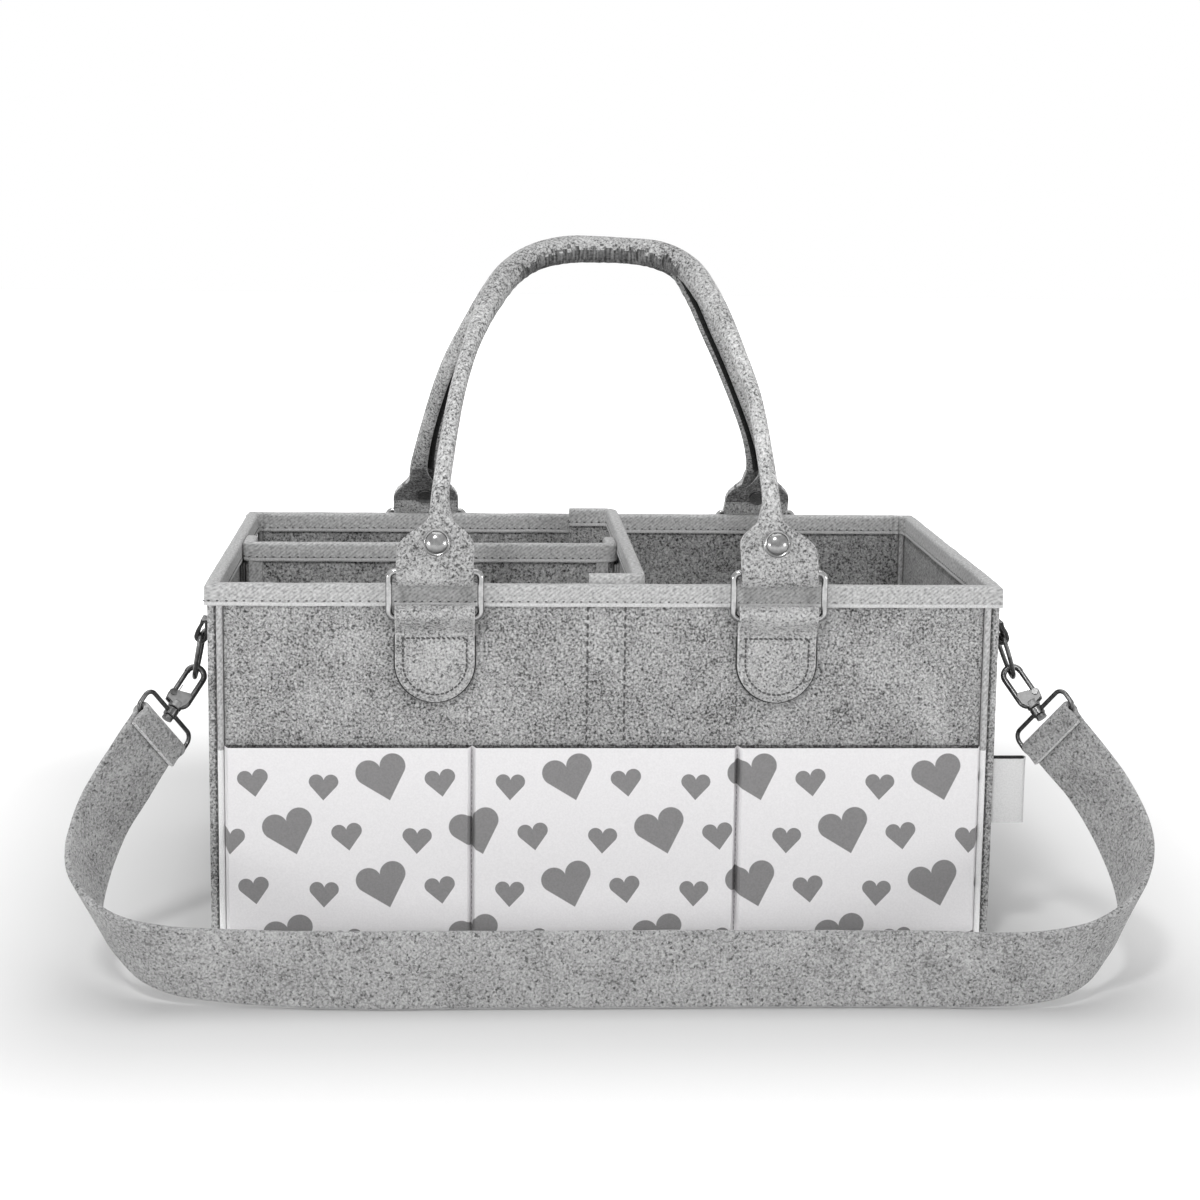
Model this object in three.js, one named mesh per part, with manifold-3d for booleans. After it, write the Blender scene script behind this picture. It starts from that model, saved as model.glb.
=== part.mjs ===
// Felt diaper caddy with dividers, two carrying handles and a clip-on shoulder strap.
// Millimetres, +Z up, +X to the right, front towards -Y. Origin: middle of the underside.
import * as THREE from 'three';
import { mergeVertices } from 'three/addons/utils/BufferGeometryUtils.js';
import Module from 'manifold-3d';

// Shell
const LENGTH = 380; // across the outside of the two end panels
const DEPTH = 250; // across the outside of the front and back panels
const HEIGHT = 180; // table to the top of the rim binding
const WALL_FELT = 4;
const BASE_FELT = 4;
const SEAM = 0.3; // room between two layers that are sewn together
const TAPE = 1; // thickness of every binding tape
const RIM_DROP = 10.5; // how far the rim binding comes down each side of the wall
const CORNER_TAPE_WIDTH = 3;
const CORNER_TAPE_LIP = 2; // how far a corner binding stands proud of the front

// Front pockets
const POCKET_TOP = 101;
const POCKET_FOOT = 6;
const POCKET_CLOTH = 1.2;
const POCKET_ROOM = 6; // clear depth of a pocket
const POCKET_SEAM_X = 64; // the two upright seams, left and right of the middle
const POCKET_SEAM_FLAT = 3; // half the width that is sewn flat at a seam
const POCKET_END_FLAT = 5.5; // width that is sewn flat at each end
const POCKET_SLOPE = 11; // run over which the cloth comes forward

// Blank side label, a folded loop of ribbon
const LABEL_REACH = 16.5;
const LABEL_HEIGHT = 33;
const LABEL_MIDDLE_Z = 78;
const LABEL_BACK = 6; // front face to the middle of the label
const LABEL_LOOP = 4; // outside thickness of the folded loop
const LABEL_RIBBON = 0.8;

// Carrying handles and their rings
const FRONT_FOOT_X = 82; // ring centre from the handle's middle
const BACK_FOOT_X = 95;
const BACK_HANDLE_SHIFT = 5; // the back handle sits this far right of the middle
const BACK_HANDLE_LOWER = 6.5; // the back rings and tabs sit this far below the front ones
const RING_WIRE = 3;
const RING_END_ROOM = 1.25; // anchor tab to each end of its ring
const RING_SPAN = 20; // between the middles of the two bars
const RING_CORNER = 3;
const RING_DROP = 13.5; // rim to the middle of the lower bar
const RING_PLAY = 0.4; // room between a bar and the felt folded round it
const ANCHOR_WIDTH = 38;
const ANCHOR_LENGTH = 43.5; // lower bar to the foot of the anchor tab
const ANCHOR_FELT = 3.2;
const FOLD_FELT = 2.6; // felt thickness where it is folded round a bar
const TAB_WIDTH = 36.7;
const TAB_FELT = 4.4; // the two layers of a handle's end tab
const TAB_SHOULDER = 12; // bar to the start of the rounded shoulder
const TAB_NECK = 28; // bar to the end of the shoulder
const TAB_NECK_WIDTH = 11;
const TAB_TIP = 34; // bar to the end of the flat felt inside the rolled leg
const TAB_TIP_WIDTH = 7.7;
const SHOULDER_BULGE = 0.7; // how far up the shoulder its curve follows the tab's side
const SHOULDER_FLARE = 4; // height over which the curve runs into the neck
const FRONT_TAB_LEAN = 10; // degrees that a standing end tab leans over the rim
const BACK_TAB_LEAN = 36;
const LEG_START = 26; // bar to the start of the rolled leg
const LEG_STRAIGHT = 36; // bar to the end of the leg's straight part
const LEG_RADIUS = 5;
const GRIP_RADIUS = 6.5;
const HANDLE_RISE = 157; // rim to the middle of the grip
const GRIP_FROM = 116; // the leg swells to the grip between these two heights over the rim
const GRIP_FULL = 142;
const GRIP_GAP = 15.2; // between the middles of the two standing grips
// Middle line of half a handle above the straight leg: share of the front foot's distance from the middle,
// how much of a wider foot it follows, how much of its feet's sideways shift it has left behind, and how far
// a bowed leg has come inwards and any leg upwards, as shares of the way
const HANDLE_LINE = [
  { width: 0.957, follow: 0.85, centred: 0.35, inward: 0.0925, up: 0.174 },
  { width: 0.854, follow: 0.43, centred: 0.9, inward: 0.348, up: 0.461 },
  { width: 0.762, follow: 0.1, centred: 1, inward: 0.57, up: 0.644 },
  { width: 0.665, follow: 0, centred: 1, inward: 0.741, up: 0.774 },
  { width: 0.549, follow: 0, centred: 1, inward: 0.869, up: 0.878 },
  { width: 0.39, follow: 0, centred: 1, inward: 0.954, up: 0.948 },
  { width: 0.195, follow: 0, centred: 1, inward: 0.99, up: 0.988 },
];
const ROLL_SLIT = 14; // half angle of the slit along the inside of the roll, degrees
const ROLL_BORE = 0.46; // bore of the roll as a share of its radius
const HANDLE_STEPS = 40;
const RIVET_UP = 16; // bar to rivet
const RIVET_HEAD = 13;
const RIVET_DOME = 2.4;
const RIVET_SHANK = 4;
const RIVET_CAP = 10;
const RIVET_CAP_RIM = 1;

// Dividers
const DIVIDER_FELT = 3.5;
const DIVIDER_TAPE_DROP = 9;
const CROSS_X = 16;
const CROSS_RISE = 4; // top of the cross divider over the rim
const LENGTH_Y = 8;
const LENGTH_RISE = 1; // top of the length divider over the rim
const FLAP = 26; // length of the flap at a divider's end
const STRIP_WIDTH = 18; // hook and loop strips
const STRIP_FELT = 1;
const STRIP_FOOT_Z = 14;

// Side tabs, D rings and trigger hooks
const CLIP_BACK = 16; // front face to the middle of a D ring
const SIDE_TAB_WIDTH = 15;
const SIDE_TAB_FELT = 1.8; // one layer
const SIDE_TAB_DROP = 19.5; // rim to the top of a side tab
const D_WIRE = 2.6;
const D_BAR_OUT = 3.8; // bar of the D ring from the end panel
const D_BAR_DROP = 27.4; // rim to the bar of the D ring
const D_SIDE_ROOM = 3.5; // side tab to the middle of the D ring's side
const D_CORNER = 3;
const D_LENGTH = 22; // bar to foot
const D_SWING = { left: 10.5, right: 19.5 }; // degrees that each D ring hangs outwards
const D_PLAY = 0.35;
const HOOK_OUTWARD = 34; // degrees that the hook's foot leans outwards
const HOOK_FORWARD = 33; // degrees that the hook's foot leans forwards
const HOOK_WIRE = 3.3;
const HOOK_LENGTH = 22.4; // base to tip, middle of the wire
const HOOK_WIDTH = 8.7; // between the middles of its two sides
const HOOK_HANG = 5.3; // D wire to hook tip along the stem, middle to middle
const HOOK_ASIDE = 0.4; // D wire from the hook's middle, towards the caddy
const HOOK_HEEL = 1.3; // end of the hook's wire past the middle of its boss
const HOOK_NOSE = 0.6; // straight end of the hook's wire after the bend
const HOOK_BOSS = 6.8;
const HOOK_BOSS_HALF = 1.8;
const GATE_PIVOT = 4.2; // height of the gate pin above the hook's base
const GATE_WIDTH = 2.6;
const GATE_THICK = 2.6;
const GATE_PLAY = 0.3;
const CHEEK = 1.1; // the two ears that hold the gate pin
const CHEEK_REACH = 2.05; // ear past the middle of the gate
const PIN_RADIUS = 0.8;
const PIN_HEAD = 0.6;
const LEAF = 0.5;
const LEAF_LENGTH = 8;
const POST_RADIUS = 1.5;
const POST_HEAD_RADIUS = 2.6;
const POST_HEAD = 1.6;
const COLLAR_RADIUS = 3.2;
const COLLAR_HALF = 2.2;

// Shoulder strap and its wire loops
const LOOP_WIRE = 2.5;
const LOOP_END_ROOM = 1.8; // strap to the middle of the loop's short side
const LOOP_SPAN = 11; // between the middles of its long bars
const LOOP_CORNER = 2.6; // beside the strap
const LOOP_SHOULDER = 4.5; // beside the swivel
const LOOP_TURN = 41; // degrees that the loop is turned about the hook's stem, outer end forwards
const STRAP_WIDTH = 36;
const STRAP_FELT = 3;
const STRAP_FOLD_PLAY = 0.35;
const STRAP_FLAP = 14; // folded-back end of the strap
const STRAP_STEPS = 84;
// Middle line of the strap from each loop to the middle of the front: how far it is past the end panel and
// ahead of the front panel, how far over the height at which it stands on the table, and the direction of
// its upper edge as [outwards, forwards, up]
const STRAP_ROUTE = {
  left: [
    { past: 40.3, ahead: 12.2, rise: 66.2, edge: [0.59, 0.63, 0.5] },
    { past: 48, ahead: 16.4, rise: 53.2, edge: [0.5, 0.62, 0.6] },
    { past: 52.3, ahead: 25.9, rise: 41.7, edge: [0.43, 0.55, 0.71] },
    { past: 54, ahead: 38.3, rise: 32.3, edge: [0.39, 0.49, 0.78] },
    { past: 52.5, ahead: 52, rise: 25, edge: [0.32, 0.51, 0.8] },
    { past: 46.1, ahead: 64.6, rise: 18.3, edge: [0.23, 0.58, 0.78] },
    { past: 36, ahead: 74.8, rise: 12, edge: [0.1, 0.59, 0.8] },
    { past: 23.2, ahead: 82.1, rise: 6.8, edge: [-0.04, 0.46, 0.89] },
    { past: 8.5, ahead: 85.8, rise: 3.6, edge: [-0.08, 0.29, 0.95] },
    { past: -7.1, ahead: 87.1, rise: 2.1, edge: [-0.05, 0.19, 0.98] },
    { past: -38.4, ahead: 89, rise: 0.7, edge: [-0.02, 0.07, 1] },
    { past: -70, ahead: 90.3, rise: 0.3, edge: [0, 0, 1] },
    { past: -130, ahead: 90.5, rise: 0.3, edge: [0, 0, 1] },
  ],
  right: [
    { past: 46.2, ahead: 14, rise: 68.5, edge: [0.47, 0.62, 0.63] },
    { past: 53.7, ahead: 21, rise: 56.2, edge: [0.44, 0.59, 0.67] },
    { past: 58.3, ahead: 31.4, rise: 44.9, edge: [0.39, 0.55, 0.74] },
    { past: 59.3, ahead: 44.5, rise: 35.6, edge: [0.32, 0.52, 0.79] },
    { past: 56.7, ahead: 58.4, rise: 28, edge: [0.22, 0.55, 0.81] },
    { past: 50.5, ahead: 70.8, rise: 20.1, edge: [0.11, 0.61, 0.78] },
    { past: 40, ahead: 81, rise: 12.8, edge: [0.02, 0.56, 0.83] },
    { past: 28.1, ahead: 89.8, rise: 7.1, edge: [-0.05, 0.4, 0.92] },
    { past: 14, ahead: 95, rise: 3.6, edge: [-0.1, 0.24, 0.97] },
    { past: -2.1, ahead: 96.2, rise: 1.6, edge: [-0.08, 0.15, 0.98] },
    { past: -18.6, ahead: 95.2, rise: 0.7, edge: [-0.05, 0.1, 0.99] },
    { past: -50, ahead: 92, rise: 0.3, edge: [0, 0.02, 1] },
    { past: -130, ahead: 90.5, rise: 0.3, edge: [0, 0, 1] },
  ],
};

// Facets
const WIRE_SIDES = 8;
const BEND_STEPS = 4;
const ROUND_SIDES = 16;

const wasm = await Module();
wasm.setup();

const finish = (colour, roughness, metalness = 0) =>
  new THREE.MeshStandardMaterial({ color: colour, roughness, metalness });
const FELT_GREY = finish(0x9a9a9b, 0.95);
const TAPE_GREY = finish(0xb9b9ba, 0.85);
const PRINTED_CLOTH = finish(0xeeeeee, 0.9);
const LABEL_WHITE = finish(0xf2f2f2, 0.8);
const STRIP_GREY = finish(0xa3a3a5, 0.95);
const BRIGHT_METAL = finish(0xc8c8cc, 0.25, 1);
const DARK_METAL = finish(0x77777b, 0.35, 1);

const caddy = new THREE.Group();
const vector = (x, y, z) => new THREE.Vector3(x, y, z);
const radians = THREE.MathUtils.degToRad;

function addPiece(name, geometry, material, parent = caddy) {
  const mesh = new THREE.Mesh(geometry, material);
  mesh.name = name;
  parent.add(mesh);
  return mesh;
}

// Solids and boolean joins

function solidOf(geometry) {
  const bare = geometry.clone();
  for (const name of Object.keys(bare.attributes)) {
    if (name !== 'position') bare.deleteAttribute(name);
  }
  const merged = mergeVertices(bare, 1e-4);
  const vertProperties = new Float32Array(merged.attributes.position.array);
  const triVerts = new Uint32Array(merged.index.array);
  return new wasm.Manifold(new wasm.Mesh({ numProp: 3, vertProperties, triVerts }));
}

function geometryOf(solid) {
  const mesh = solid.getMesh();
  const geometry = new THREE.BufferGeometry();
  geometry.setAttribute('position', new THREE.BufferAttribute(new Float32Array(mesh.vertProperties), 3));
  geometry.setIndex(new THREE.BufferAttribute(new Uint32Array(mesh.triVerts), 1));
  return geometry;
}

const join = (geometries) =>
  geometryOf(geometries.map(solidOf).reduce((whole, next) => whole.add(next)));

const cut = (geometry, tools) =>
  geometryOf(tools.map(solidOf).reduce((whole, tool) => whole.subtract(tool), solidOf(geometry)));

// A block given by its two opposite corners
function block(low, high) {
  const size = high.map((value, axis) => value - low[axis]);
  const middle = high.map((value, axis) => (value + low[axis]) / 2);
  return new THREE.BoxGeometry(...size).translate(...middle);
}

// An outline of [x, y] points raised from one height to another
function raise(outline, from, to, holes = []) {
  const shape = new THREE.Shape(outline.map(([x, y]) => new THREE.Vector2(x, y)));
  shape.holes = holes.map((hole) => new THREE.Path(hole.map(([x, y]) => new THREE.Vector2(x, y))));
  const geometry = new THREE.ExtrudeGeometry(shape, { depth: to - from, bevelEnabled: false });
  return geometry.translate(0, 0, from);
}

const rectangle = (halfX, halfY) => [[-halfX, -halfY], [halfX, -halfY], [halfX, halfY], [-halfX, halfY]];

// A round bar between two heights on the Z axis
const rod = (radius, from, to, sides = ROUND_SIDES) =>
  new THREE.CylinderGeometry(radius, radius, to - from, sides)
    .rotateX(Math.PI / 2).translate(0, 0, (from + to) / 2);

// A turned piece on the Z axis, from [radius, height] points that start and end on the axis
const turned = (profile, sides = ROUND_SIDES) =>
  new THREE.LatheGeometry(profile.map(([r, h]) => new THREE.Vector2(r, h)), sides).rotateX(Math.PI / 2);

// Sweeps: a section of [across, out] points carried through stations { at, across, out, size }

const circle = (radius, sides = WIRE_SIDES) =>
  Array.from({ length: sides }, (_, i) => {
    const angle = (2 * Math.PI * i) / sides;
    return [radius * Math.cos(angle), radius * Math.sin(angle)];
  });

function sweep(section, stations, closed = false) {
  const count = section.length;
  const points = [];
  for (const { at, across, out, size = 1 } of stations) {
    for (const [a, b] of section) {
      points.push(at.clone().addScaledVector(across, a * size).addScaledVector(out, b * size));
    }
  }
  const index = [];
  const spans = closed ? stations.length : stations.length - 1;
  for (let i = 0; i < spans; i += 1) {
    const here = i * count;
    const there = ((i + 1) % stations.length) * count;
    for (let k = 0; k < count; k += 1) {
      const next = (k + 1) % count;
      index.push(here + k, here + next, there + next, here + k, there + next, there + k);
    }
  }
  if (!closed) {
    const last = (stations.length - 1) * count;
    const flat = section.map(([a, b]) => new THREE.Vector2(a, b));
    for (const [i, j, k] of THREE.ShapeUtils.triangulateShape(flat, [])) {
      index.push(k, j, i, last + i, last + j, last + k);
    }
  }
  const geometry = new THREE.BufferGeometry().setFromPoints(points);
  geometry.setIndex(insideOut(points, index) ? index.reverse() : index);
  return geometry;
}

function insideOut(points, index) {
  let volume = 0;
  for (let i = 0; i < index.length; i += 3) {
    const [a, b, c] = [points[index[i]], points[index[i + 1]], points[index[i + 2]]];
    volume += a.dot(b.clone().cross(c));
  }
  return volume < 0;
}

// Stations along a flat path of [u, v] points, in the plane of the two given directions
function flatStations(path, origin, u, v, closed) {
  const normal = u.clone().cross(v).normalize();
  const points = path.map(([a, b]) => origin.clone().addScaledVector(u, a).addScaledVector(v, b));
  const last = points.length - 1;
  return points.map((at, i) => {
    const before = points[i > 0 ? i - 1 : closed ? last : 0];
    const after = points[i < last ? i + 1 : closed ? 0 : last];
    const along = after.clone().sub(before).normalize();
    return { at, across: normal.clone().cross(along), out: normal };
  });
}

// Points on an arc round [u, v], both ends included
const arc = (u, v, radiusU, radiusV, from, to, steps = BEND_STEPS) =>
  Array.from({ length: steps + 1 }, (_, i) => {
    const angle = radians(from + ((to - from) * i) / steps);
    return [u + radiusU * Math.cos(angle), v + radiusV * Math.sin(angle)];
  });

// A rectangle with round corners, given by the middle line of its wire
function roundedLoop(width, height, corner, upper = corner) {
  const u = width / 2;
  const v = height / 2;
  return [
    ...arc(u - upper, v - upper, upper, upper, 0, 90),
    ...arc(upper - u, v - upper, upper, upper, 90, 180),
    ...arc(corner - u, corner - v, corner, corner, 180, 270),
    ...arc(u - corner, corner - v, corner, corner, 270, 360),
  ];
}

// Shell: felt panels, bindings, pockets and label

const wallTop = HEIGHT - TAPE - SEAM;
const wallFoot = BASE_FELT + SEAM;
const innerX = LENGTH / 2 - WALL_FELT;
const innerY = DEPTH / 2 - WALL_FELT;
const frontHalf = innerX - CORNER_TAPE_WIDTH - 2 * SEAM;
const rimFoot = HEIGHT - RIM_DROP;

function addShell() {
  const endX = LENGTH / 2;
  const faceY = DEPTH / 2;
  addPiece('base_panel', block([-endX, -faceY, 0], [endX, faceY, BASE_FELT]), FELT_GREY);
  addPiece('front_panel', block([-frontHalf, -faceY, wallFoot], [frontHalf, -innerY, wallTop]), FELT_GREY);
  addPiece('back_panel', block([-frontHalf, innerY, wallFoot], [frontHalf, faceY, wallTop]), FELT_GREY);
  addPiece('left_panel', block([-endX, -faceY, wallFoot], [-innerX, faceY, wallTop]), FELT_GREY);
  addPiece('right_panel', block([innerX, -faceY, wallFoot], [endX, faceY, wallTop]), FELT_GREY);
}

// The tape is folded over the wall: a frame with a groove from below.
function addRimBinding() {
  const outside = SEAM + TAPE;
  const frame = raise(
    rectangle(LENGTH / 2 + outside, DEPTH / 2 + outside), rimFoot, HEIGHT,
    [rectangle(innerX - outside, innerY - outside)],
  );
  const groove = raise(
    rectangle(LENGTH / 2 + SEAM, DEPTH / 2 + SEAM), rimFoot - TAPE, HEIGHT - TAPE,
    [rectangle(innerX - SEAM, innerY - SEAM)],
  );
  addPiece('rim_binding', cut(frame, [groove]), TAPE_GREY);
}

// Each corner tape fills the seam between two panels and stands proud of the long wall.
function addCornerBindings() {
  const front = DEPTH / 2;
  const profile = [
    [innerY, wallFoot], [front + CORNER_TAPE_LIP, wallFoot], [front + CORNER_TAPE_LIP, rimFoot - SEAM],
    [front, rimFoot - SEAM], [front, wallTop], [innerY, wallTop],
  ];
  for (const [end, sideX] of [['left', -1], ['right', 1]]) {
    for (const [wall, sideY] of [['front', -1], ['back', 1]]) {
      const outline = profile.map(([y, z]) => [sideY * y, z]);
      const strip = raise(outline, -CORNER_TAPE_WIDTH / 2, CORNER_TAPE_WIDTH / 2)
        .rotateX(Math.PI / 2).rotateZ(Math.PI / 2);
      const mesh = addPiece(`${wall}_${end}_corner_binding`, strip, TAPE_GREY);
      mesh.position.x = sideX * (innerX - SEAM - CORNER_TAPE_WIDTH / 2);
    }
  }
}

// Plan of the pocket cloth: sewn flat at the ends and at two seams, and forward between them.
function pocketLine() {
  const near = SEAM;
  const far = POCKET_ROOM;
  const end = frontHalf - POCKET_END_FLAT;
  const seamOut = POCKET_SEAM_X + POCKET_SEAM_FLAT;
  const seamIn = POCKET_SEAM_X - POCKET_SEAM_FLAT;
  const half = [
    [seamIn - POCKET_SLOPE, far], [seamIn, near], [seamOut, near], [seamOut + POCKET_SLOPE, far],
    [end - POCKET_SLOPE, far], [end, near], [frontHalf, near],
  ];
  return [...half.toReversed().map(([x, y]) => [-x, y]), ...half];
}

function addPocketPanel() {
  const line = pocketLine().map(([x, y]) => [x, -DEPTH / 2 - y]);
  const skin = line.map(([x, y]) => [x, y - POCKET_CLOTH]).toReversed();
  const cloth = raise([...line, ...skin], POCKET_FOOT, POCKET_TOP);
  const back = -DEPTH / 2 - SEAM;
  const footPlan = [[-frontHalf, back], [frontHalf, back], ...skin];
  const foot = raise(footPlan, POCKET_FOOT, POCKET_FOOT + POCKET_CLOTH);
  addPiece('pocket_panel', join([cloth, foot]), PRINTED_CLOTH);
}

function addSideLabel() {
  const half = LABEL_LOOP / 2;
  const straight = LABEL_REACH - half;
  const bore = half - LABEL_RIBBON;
  const outline = [
    [0, -half], ...arc(straight, 0, half, half, -90, 90), [0, half],
    [0, bore], ...arc(straight, 0, bore, bore, 90, -90), [0, -bore],
  ];
  const label = raise(outline, -LABEL_HEIGHT / 2, LABEL_HEIGHT / 2);
  const mesh = addPiece('side_label', label, LABEL_WHITE);
  mesh.position.set(LENGTH / 2 + SEAM, -DEPTH / 2 + LABEL_BACK, LABEL_MIDDLE_Z);
}

// Carrying handles, each drawn as a front one: the back one is then turned round.

const foldRadius = RING_WIRE / 2 + RING_PLAY + FOLD_FELT;
const barHole = RING_WIRE / 2 + RING_PLAY;
const ringY = -(DEPTH / 2 + SEAM + TAPE + SEAM + foldRadius);
const lowerBarZ = HEIGHT - RING_DROP;
const upperBarZ = lowerBarZ + RING_SPAN;
const gripZ = HEIGHT + HANDLE_RISE;
const alongX = (geometry) => geometry.rotateY(Math.PI / 2);

function anchorTab() {
  const half = ANCHOR_WIDTH / 2;
  const outline = [
    [half, lowerBarZ], [-half, lowerBarZ],
    ...arc(0, lowerBarZ - ANCHOR_LENGTH + half, half, half, 180, 360, 3 * BEND_STEPS),
  ];
  const face = -DEPTH / 2 - SEAM;
  const plate = raise(outline, 0, ANCHOR_FELT).rotateX(Math.PI / 2).translate(0, face, 0);
  const web = block([-half, ringY, lowerBarZ - foldRadius], [half, face - ANCHOR_FELT / 2, lowerBarZ]);
  const fold = alongX(rod(foldRadius, -half, half)).translate(0, ringY, lowerBarZ);
  const hole = alongX(rod(barHole, -ANCHOR_WIDTH, ANCHOR_WIDTH)).translate(0, ringY, lowerBarZ);
  return cut(join([plate, web, fold]), [hole]);
}

function handleRing() {
  const length = ANCHOR_WIDTH + 2 * RING_END_ROOM + RING_WIRE;
  const path = roundedLoop(length, RING_SPAN, RING_CORNER);
  const middle = vector(0, ringY, lowerBarZ + RING_SPAN / 2);
  const stations = flatStations(path, middle, vector(1, 0, 0), vector(0, 0, 1), true);
  return sweep(circle(RING_WIRE / 2), stations, true);
}

// From a tab's own frame (Z up the tab, -Y out of its front, bar on X) to the standing handle
const tabFrame = (x, lower, lean) =>
  new THREE.Matrix4().makeRotationX(-radians(lean)).setPosition(x, ringY, upperBarZ - lower);

// Points on the middle line of half a handle, from the foot on one side (-1 or 1) to the last before the top
function handleHalf({ footX, shift, lower, lean, bowed }, side) {
  const foot = tabFrame(side * footX, lower, lean);
  const start = vector(0, 0, LEG_START).applyMatrix4(foot);
  const leg = vector(0, 0, LEG_STRAIGHT).applyMatrix4(foot);
  const arch = HANDLE_LINE.map(({ width, follow, centred, inward, up }) => vector(
    side * (width * FRONT_FOOT_X + follow * (footX - FRONT_FOOT_X)) + centred * shift,
    THREE.MathUtils.lerp(leg.y, -GRIP_GAP / 2, bowed ? inward : up),
    THREE.MathUtils.lerp(leg.z, gripZ, up),
  ));
  return [start, leg, ...arch];
}

function handleStations(place) {
  const top = vector(place.shift, -GRIP_GAP / 2, gripZ);
  const whole = [...handleHalf(place, -1), top, ...handleHalf(place, 1).toReversed()];
  const curve = new THREE.CatmullRomCurve3(whole, false, 'centripetal');
  const arch = vector(0, ringY / 2, (upperBarZ + gripZ) / 2);
  return Array.from({ length: HANDLE_STEPS + 1 }, (_, i) => {
    const at = curve.getPointAt(i / HANDLE_STEPS);
    const along = curve.getTangentAt(i / HANDLE_STEPS);
    const inward = arch.clone().sub(at);
    inward.addScaledVector(along, -inward.dot(along)).normalize();
    const swell = THREE.MathUtils.smoothstep(at.z - HEIGHT, GRIP_FROM, GRIP_FULL);
    const size = LEG_RADIUS + (GRIP_RADIUS - LEG_RADIUS) * swell;
    return { at, across: inward, out: along.clone().cross(inward), size };
  });
}

// Felt rolled to a tube that is slit along its inside, for a radius of 1
const rolledSection = () => [
  ...arc(0, 0, 1, 1, ROLL_SLIT, 360 - ROLL_SLIT, 3 * BEND_STEPS),
  ...arc(0, 0, ROLL_BORE, ROLL_BORE, 360 - ROLL_SLIT, ROLL_SLIT, 2 * BEND_STEPS),
];

function tabBlank() {
  const half = TAB_WIDTH / 2;
  const neck = TAB_NECK_WIDTH / 2;
  const bulge = THREE.MathUtils.lerp(TAB_SHOULDER, TAB_NECK, SHOULDER_BULGE);
  const shoulder = new THREE.CubicBezierCurve(
    new THREE.Vector2(half, TAB_SHOULDER), new THREE.Vector2(half, bulge),
    new THREE.Vector2(neck, TAB_NECK - SHOULDER_FLARE), new THREE.Vector2(neck, TAB_NECK),
  ).getPoints(2 * BEND_STEPS).map((point) => [point.x, point.y]);
  const right = [[half, 0], ...shoulder, [TAB_TIP_WIDTH / 2, TAB_TIP]];
  const outline = [...right, ...right.toReversed().map(([x, z]) => [-x, z])];
  const plate = raise(outline, -TAB_FELT / 2, TAB_FELT / 2).rotateX(Math.PI / 2);
  return join([plate, alongX(rod(foldRadius, -half, half))]);
}

function handle(place) {
  const frames = [-1, 1].map((side) => tabFrame(side * place.footX, place.lower, place.lean));
  const tabs = frames.map((frame) => tabBlank().applyMatrix4(frame));
  const roll = sweep(rolledSection(), handleStations(place));
  const across = (radius) => rod(radius, -TAB_WIDTH / 2, TAB_WIDTH / 2).rotateX(Math.PI / 2);
  const holes = frames.flatMap((frame) => [
    alongX(rod(barHole, -TAB_WIDTH, TAB_WIDTH)).applyMatrix4(frame),
    across(RIVET_SHANK / 2 + SEAM).translate(0, 0, RIVET_UP).applyMatrix4(frame),
  ]);
  return cut(join([...tabs, roll]), holes);
}

// Domed head in front, shank through the tab, flat cap behind
function rivet() {
  const seat = TAB_FELT / 2 + SEAM;
  const dome = arc(0, seat, RIVET_HEAD / 2, RIVET_DOME, 0, 90, BEND_STEPS).slice(0, -1);
  const profile = [
    [0, -seat - RIVET_CAP_RIM], [RIVET_CAP / 2, -seat - RIVET_CAP_RIM], [RIVET_CAP / 2, -seat],
    [RIVET_SHANK / 2, -seat], [RIVET_SHANK / 2, seat], ...dome, [0, seat + RIVET_DOME],
  ];
  return turned(profile).rotateX(Math.PI / 2).translate(0, 0, RIVET_UP);
}

function addHandle(wall, turn, place) {
  const group = new THREE.Group();
  group.rotation.z = turn;
  group.position.x = place.shift;
  caddy.add(group);
  addPiece(`${wall}_handle`, handle(place), FELT_GREY, group);
  for (const local of [-1, 1]) {
    const side = local * Math.cos(turn) < 0 ? 'left' : 'right';
    const foot = vector(local * place.footX, 0, -place.lower);
    addPiece(`${wall}_${side}_anchor_tab`, anchorTab(), FELT_GREY, group).position.copy(foot);
    addPiece(`${wall}_${side}_ring`, handleRing(), BRIGHT_METAL, group).position.copy(foot);
    const head = rivet().applyMatrix4(tabFrame(foot.x, place.lower, place.lean));
    addPiece(`${wall}_${side}_rivet`, head, BRIGHT_METAL, group);
  }
}

// Dividers: a felt web with a flap turned at each end, bound along the top

const stripTop = rimFoot - SEAM - TAPE;
const stripLayer = SEAM + STRIP_FELT; // one strip and the room behind it
const wallToFlap = 2 * stripLayer + SEAM; // loop strip and hook strip between wall and flap

// Low and high corners in plan of a divider's web and flaps
const crossEnd = innerY - wallToFlap;
const crossPlan = [
  [[CROSS_X - DIVIDER_FELT / 2, -crossEnd], [CROSS_X + DIVIDER_FELT / 2, crossEnd]],
  [[CROSS_X + DIVIDER_FELT / 2 - FLAP, -crossEnd], [CROSS_X, -crossEnd + DIVIDER_FELT]],
  [[CROSS_X + DIVIDER_FELT / 2 - FLAP, crossEnd - DIVIDER_FELT], [CROSS_X, crossEnd]],
];
const lengthLeft = -innerX + wallToFlap;
const lengthRight = CROSS_X - DIVIDER_FELT / 2 - wallToFlap;
const lengthFront = LENGTH_Y - DIVIDER_FELT / 2;
const lengthPlan = [
  [[lengthLeft, lengthFront], [lengthRight, LENGTH_Y + DIVIDER_FELT / 2]],
  [[lengthLeft, LENGTH_Y], [lengthLeft + DIVIDER_FELT, lengthFront + FLAP]],
  [[lengthRight - DIVIDER_FELT, LENGTH_Y], [lengthRight, lengthFront + FLAP]],
];

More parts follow.
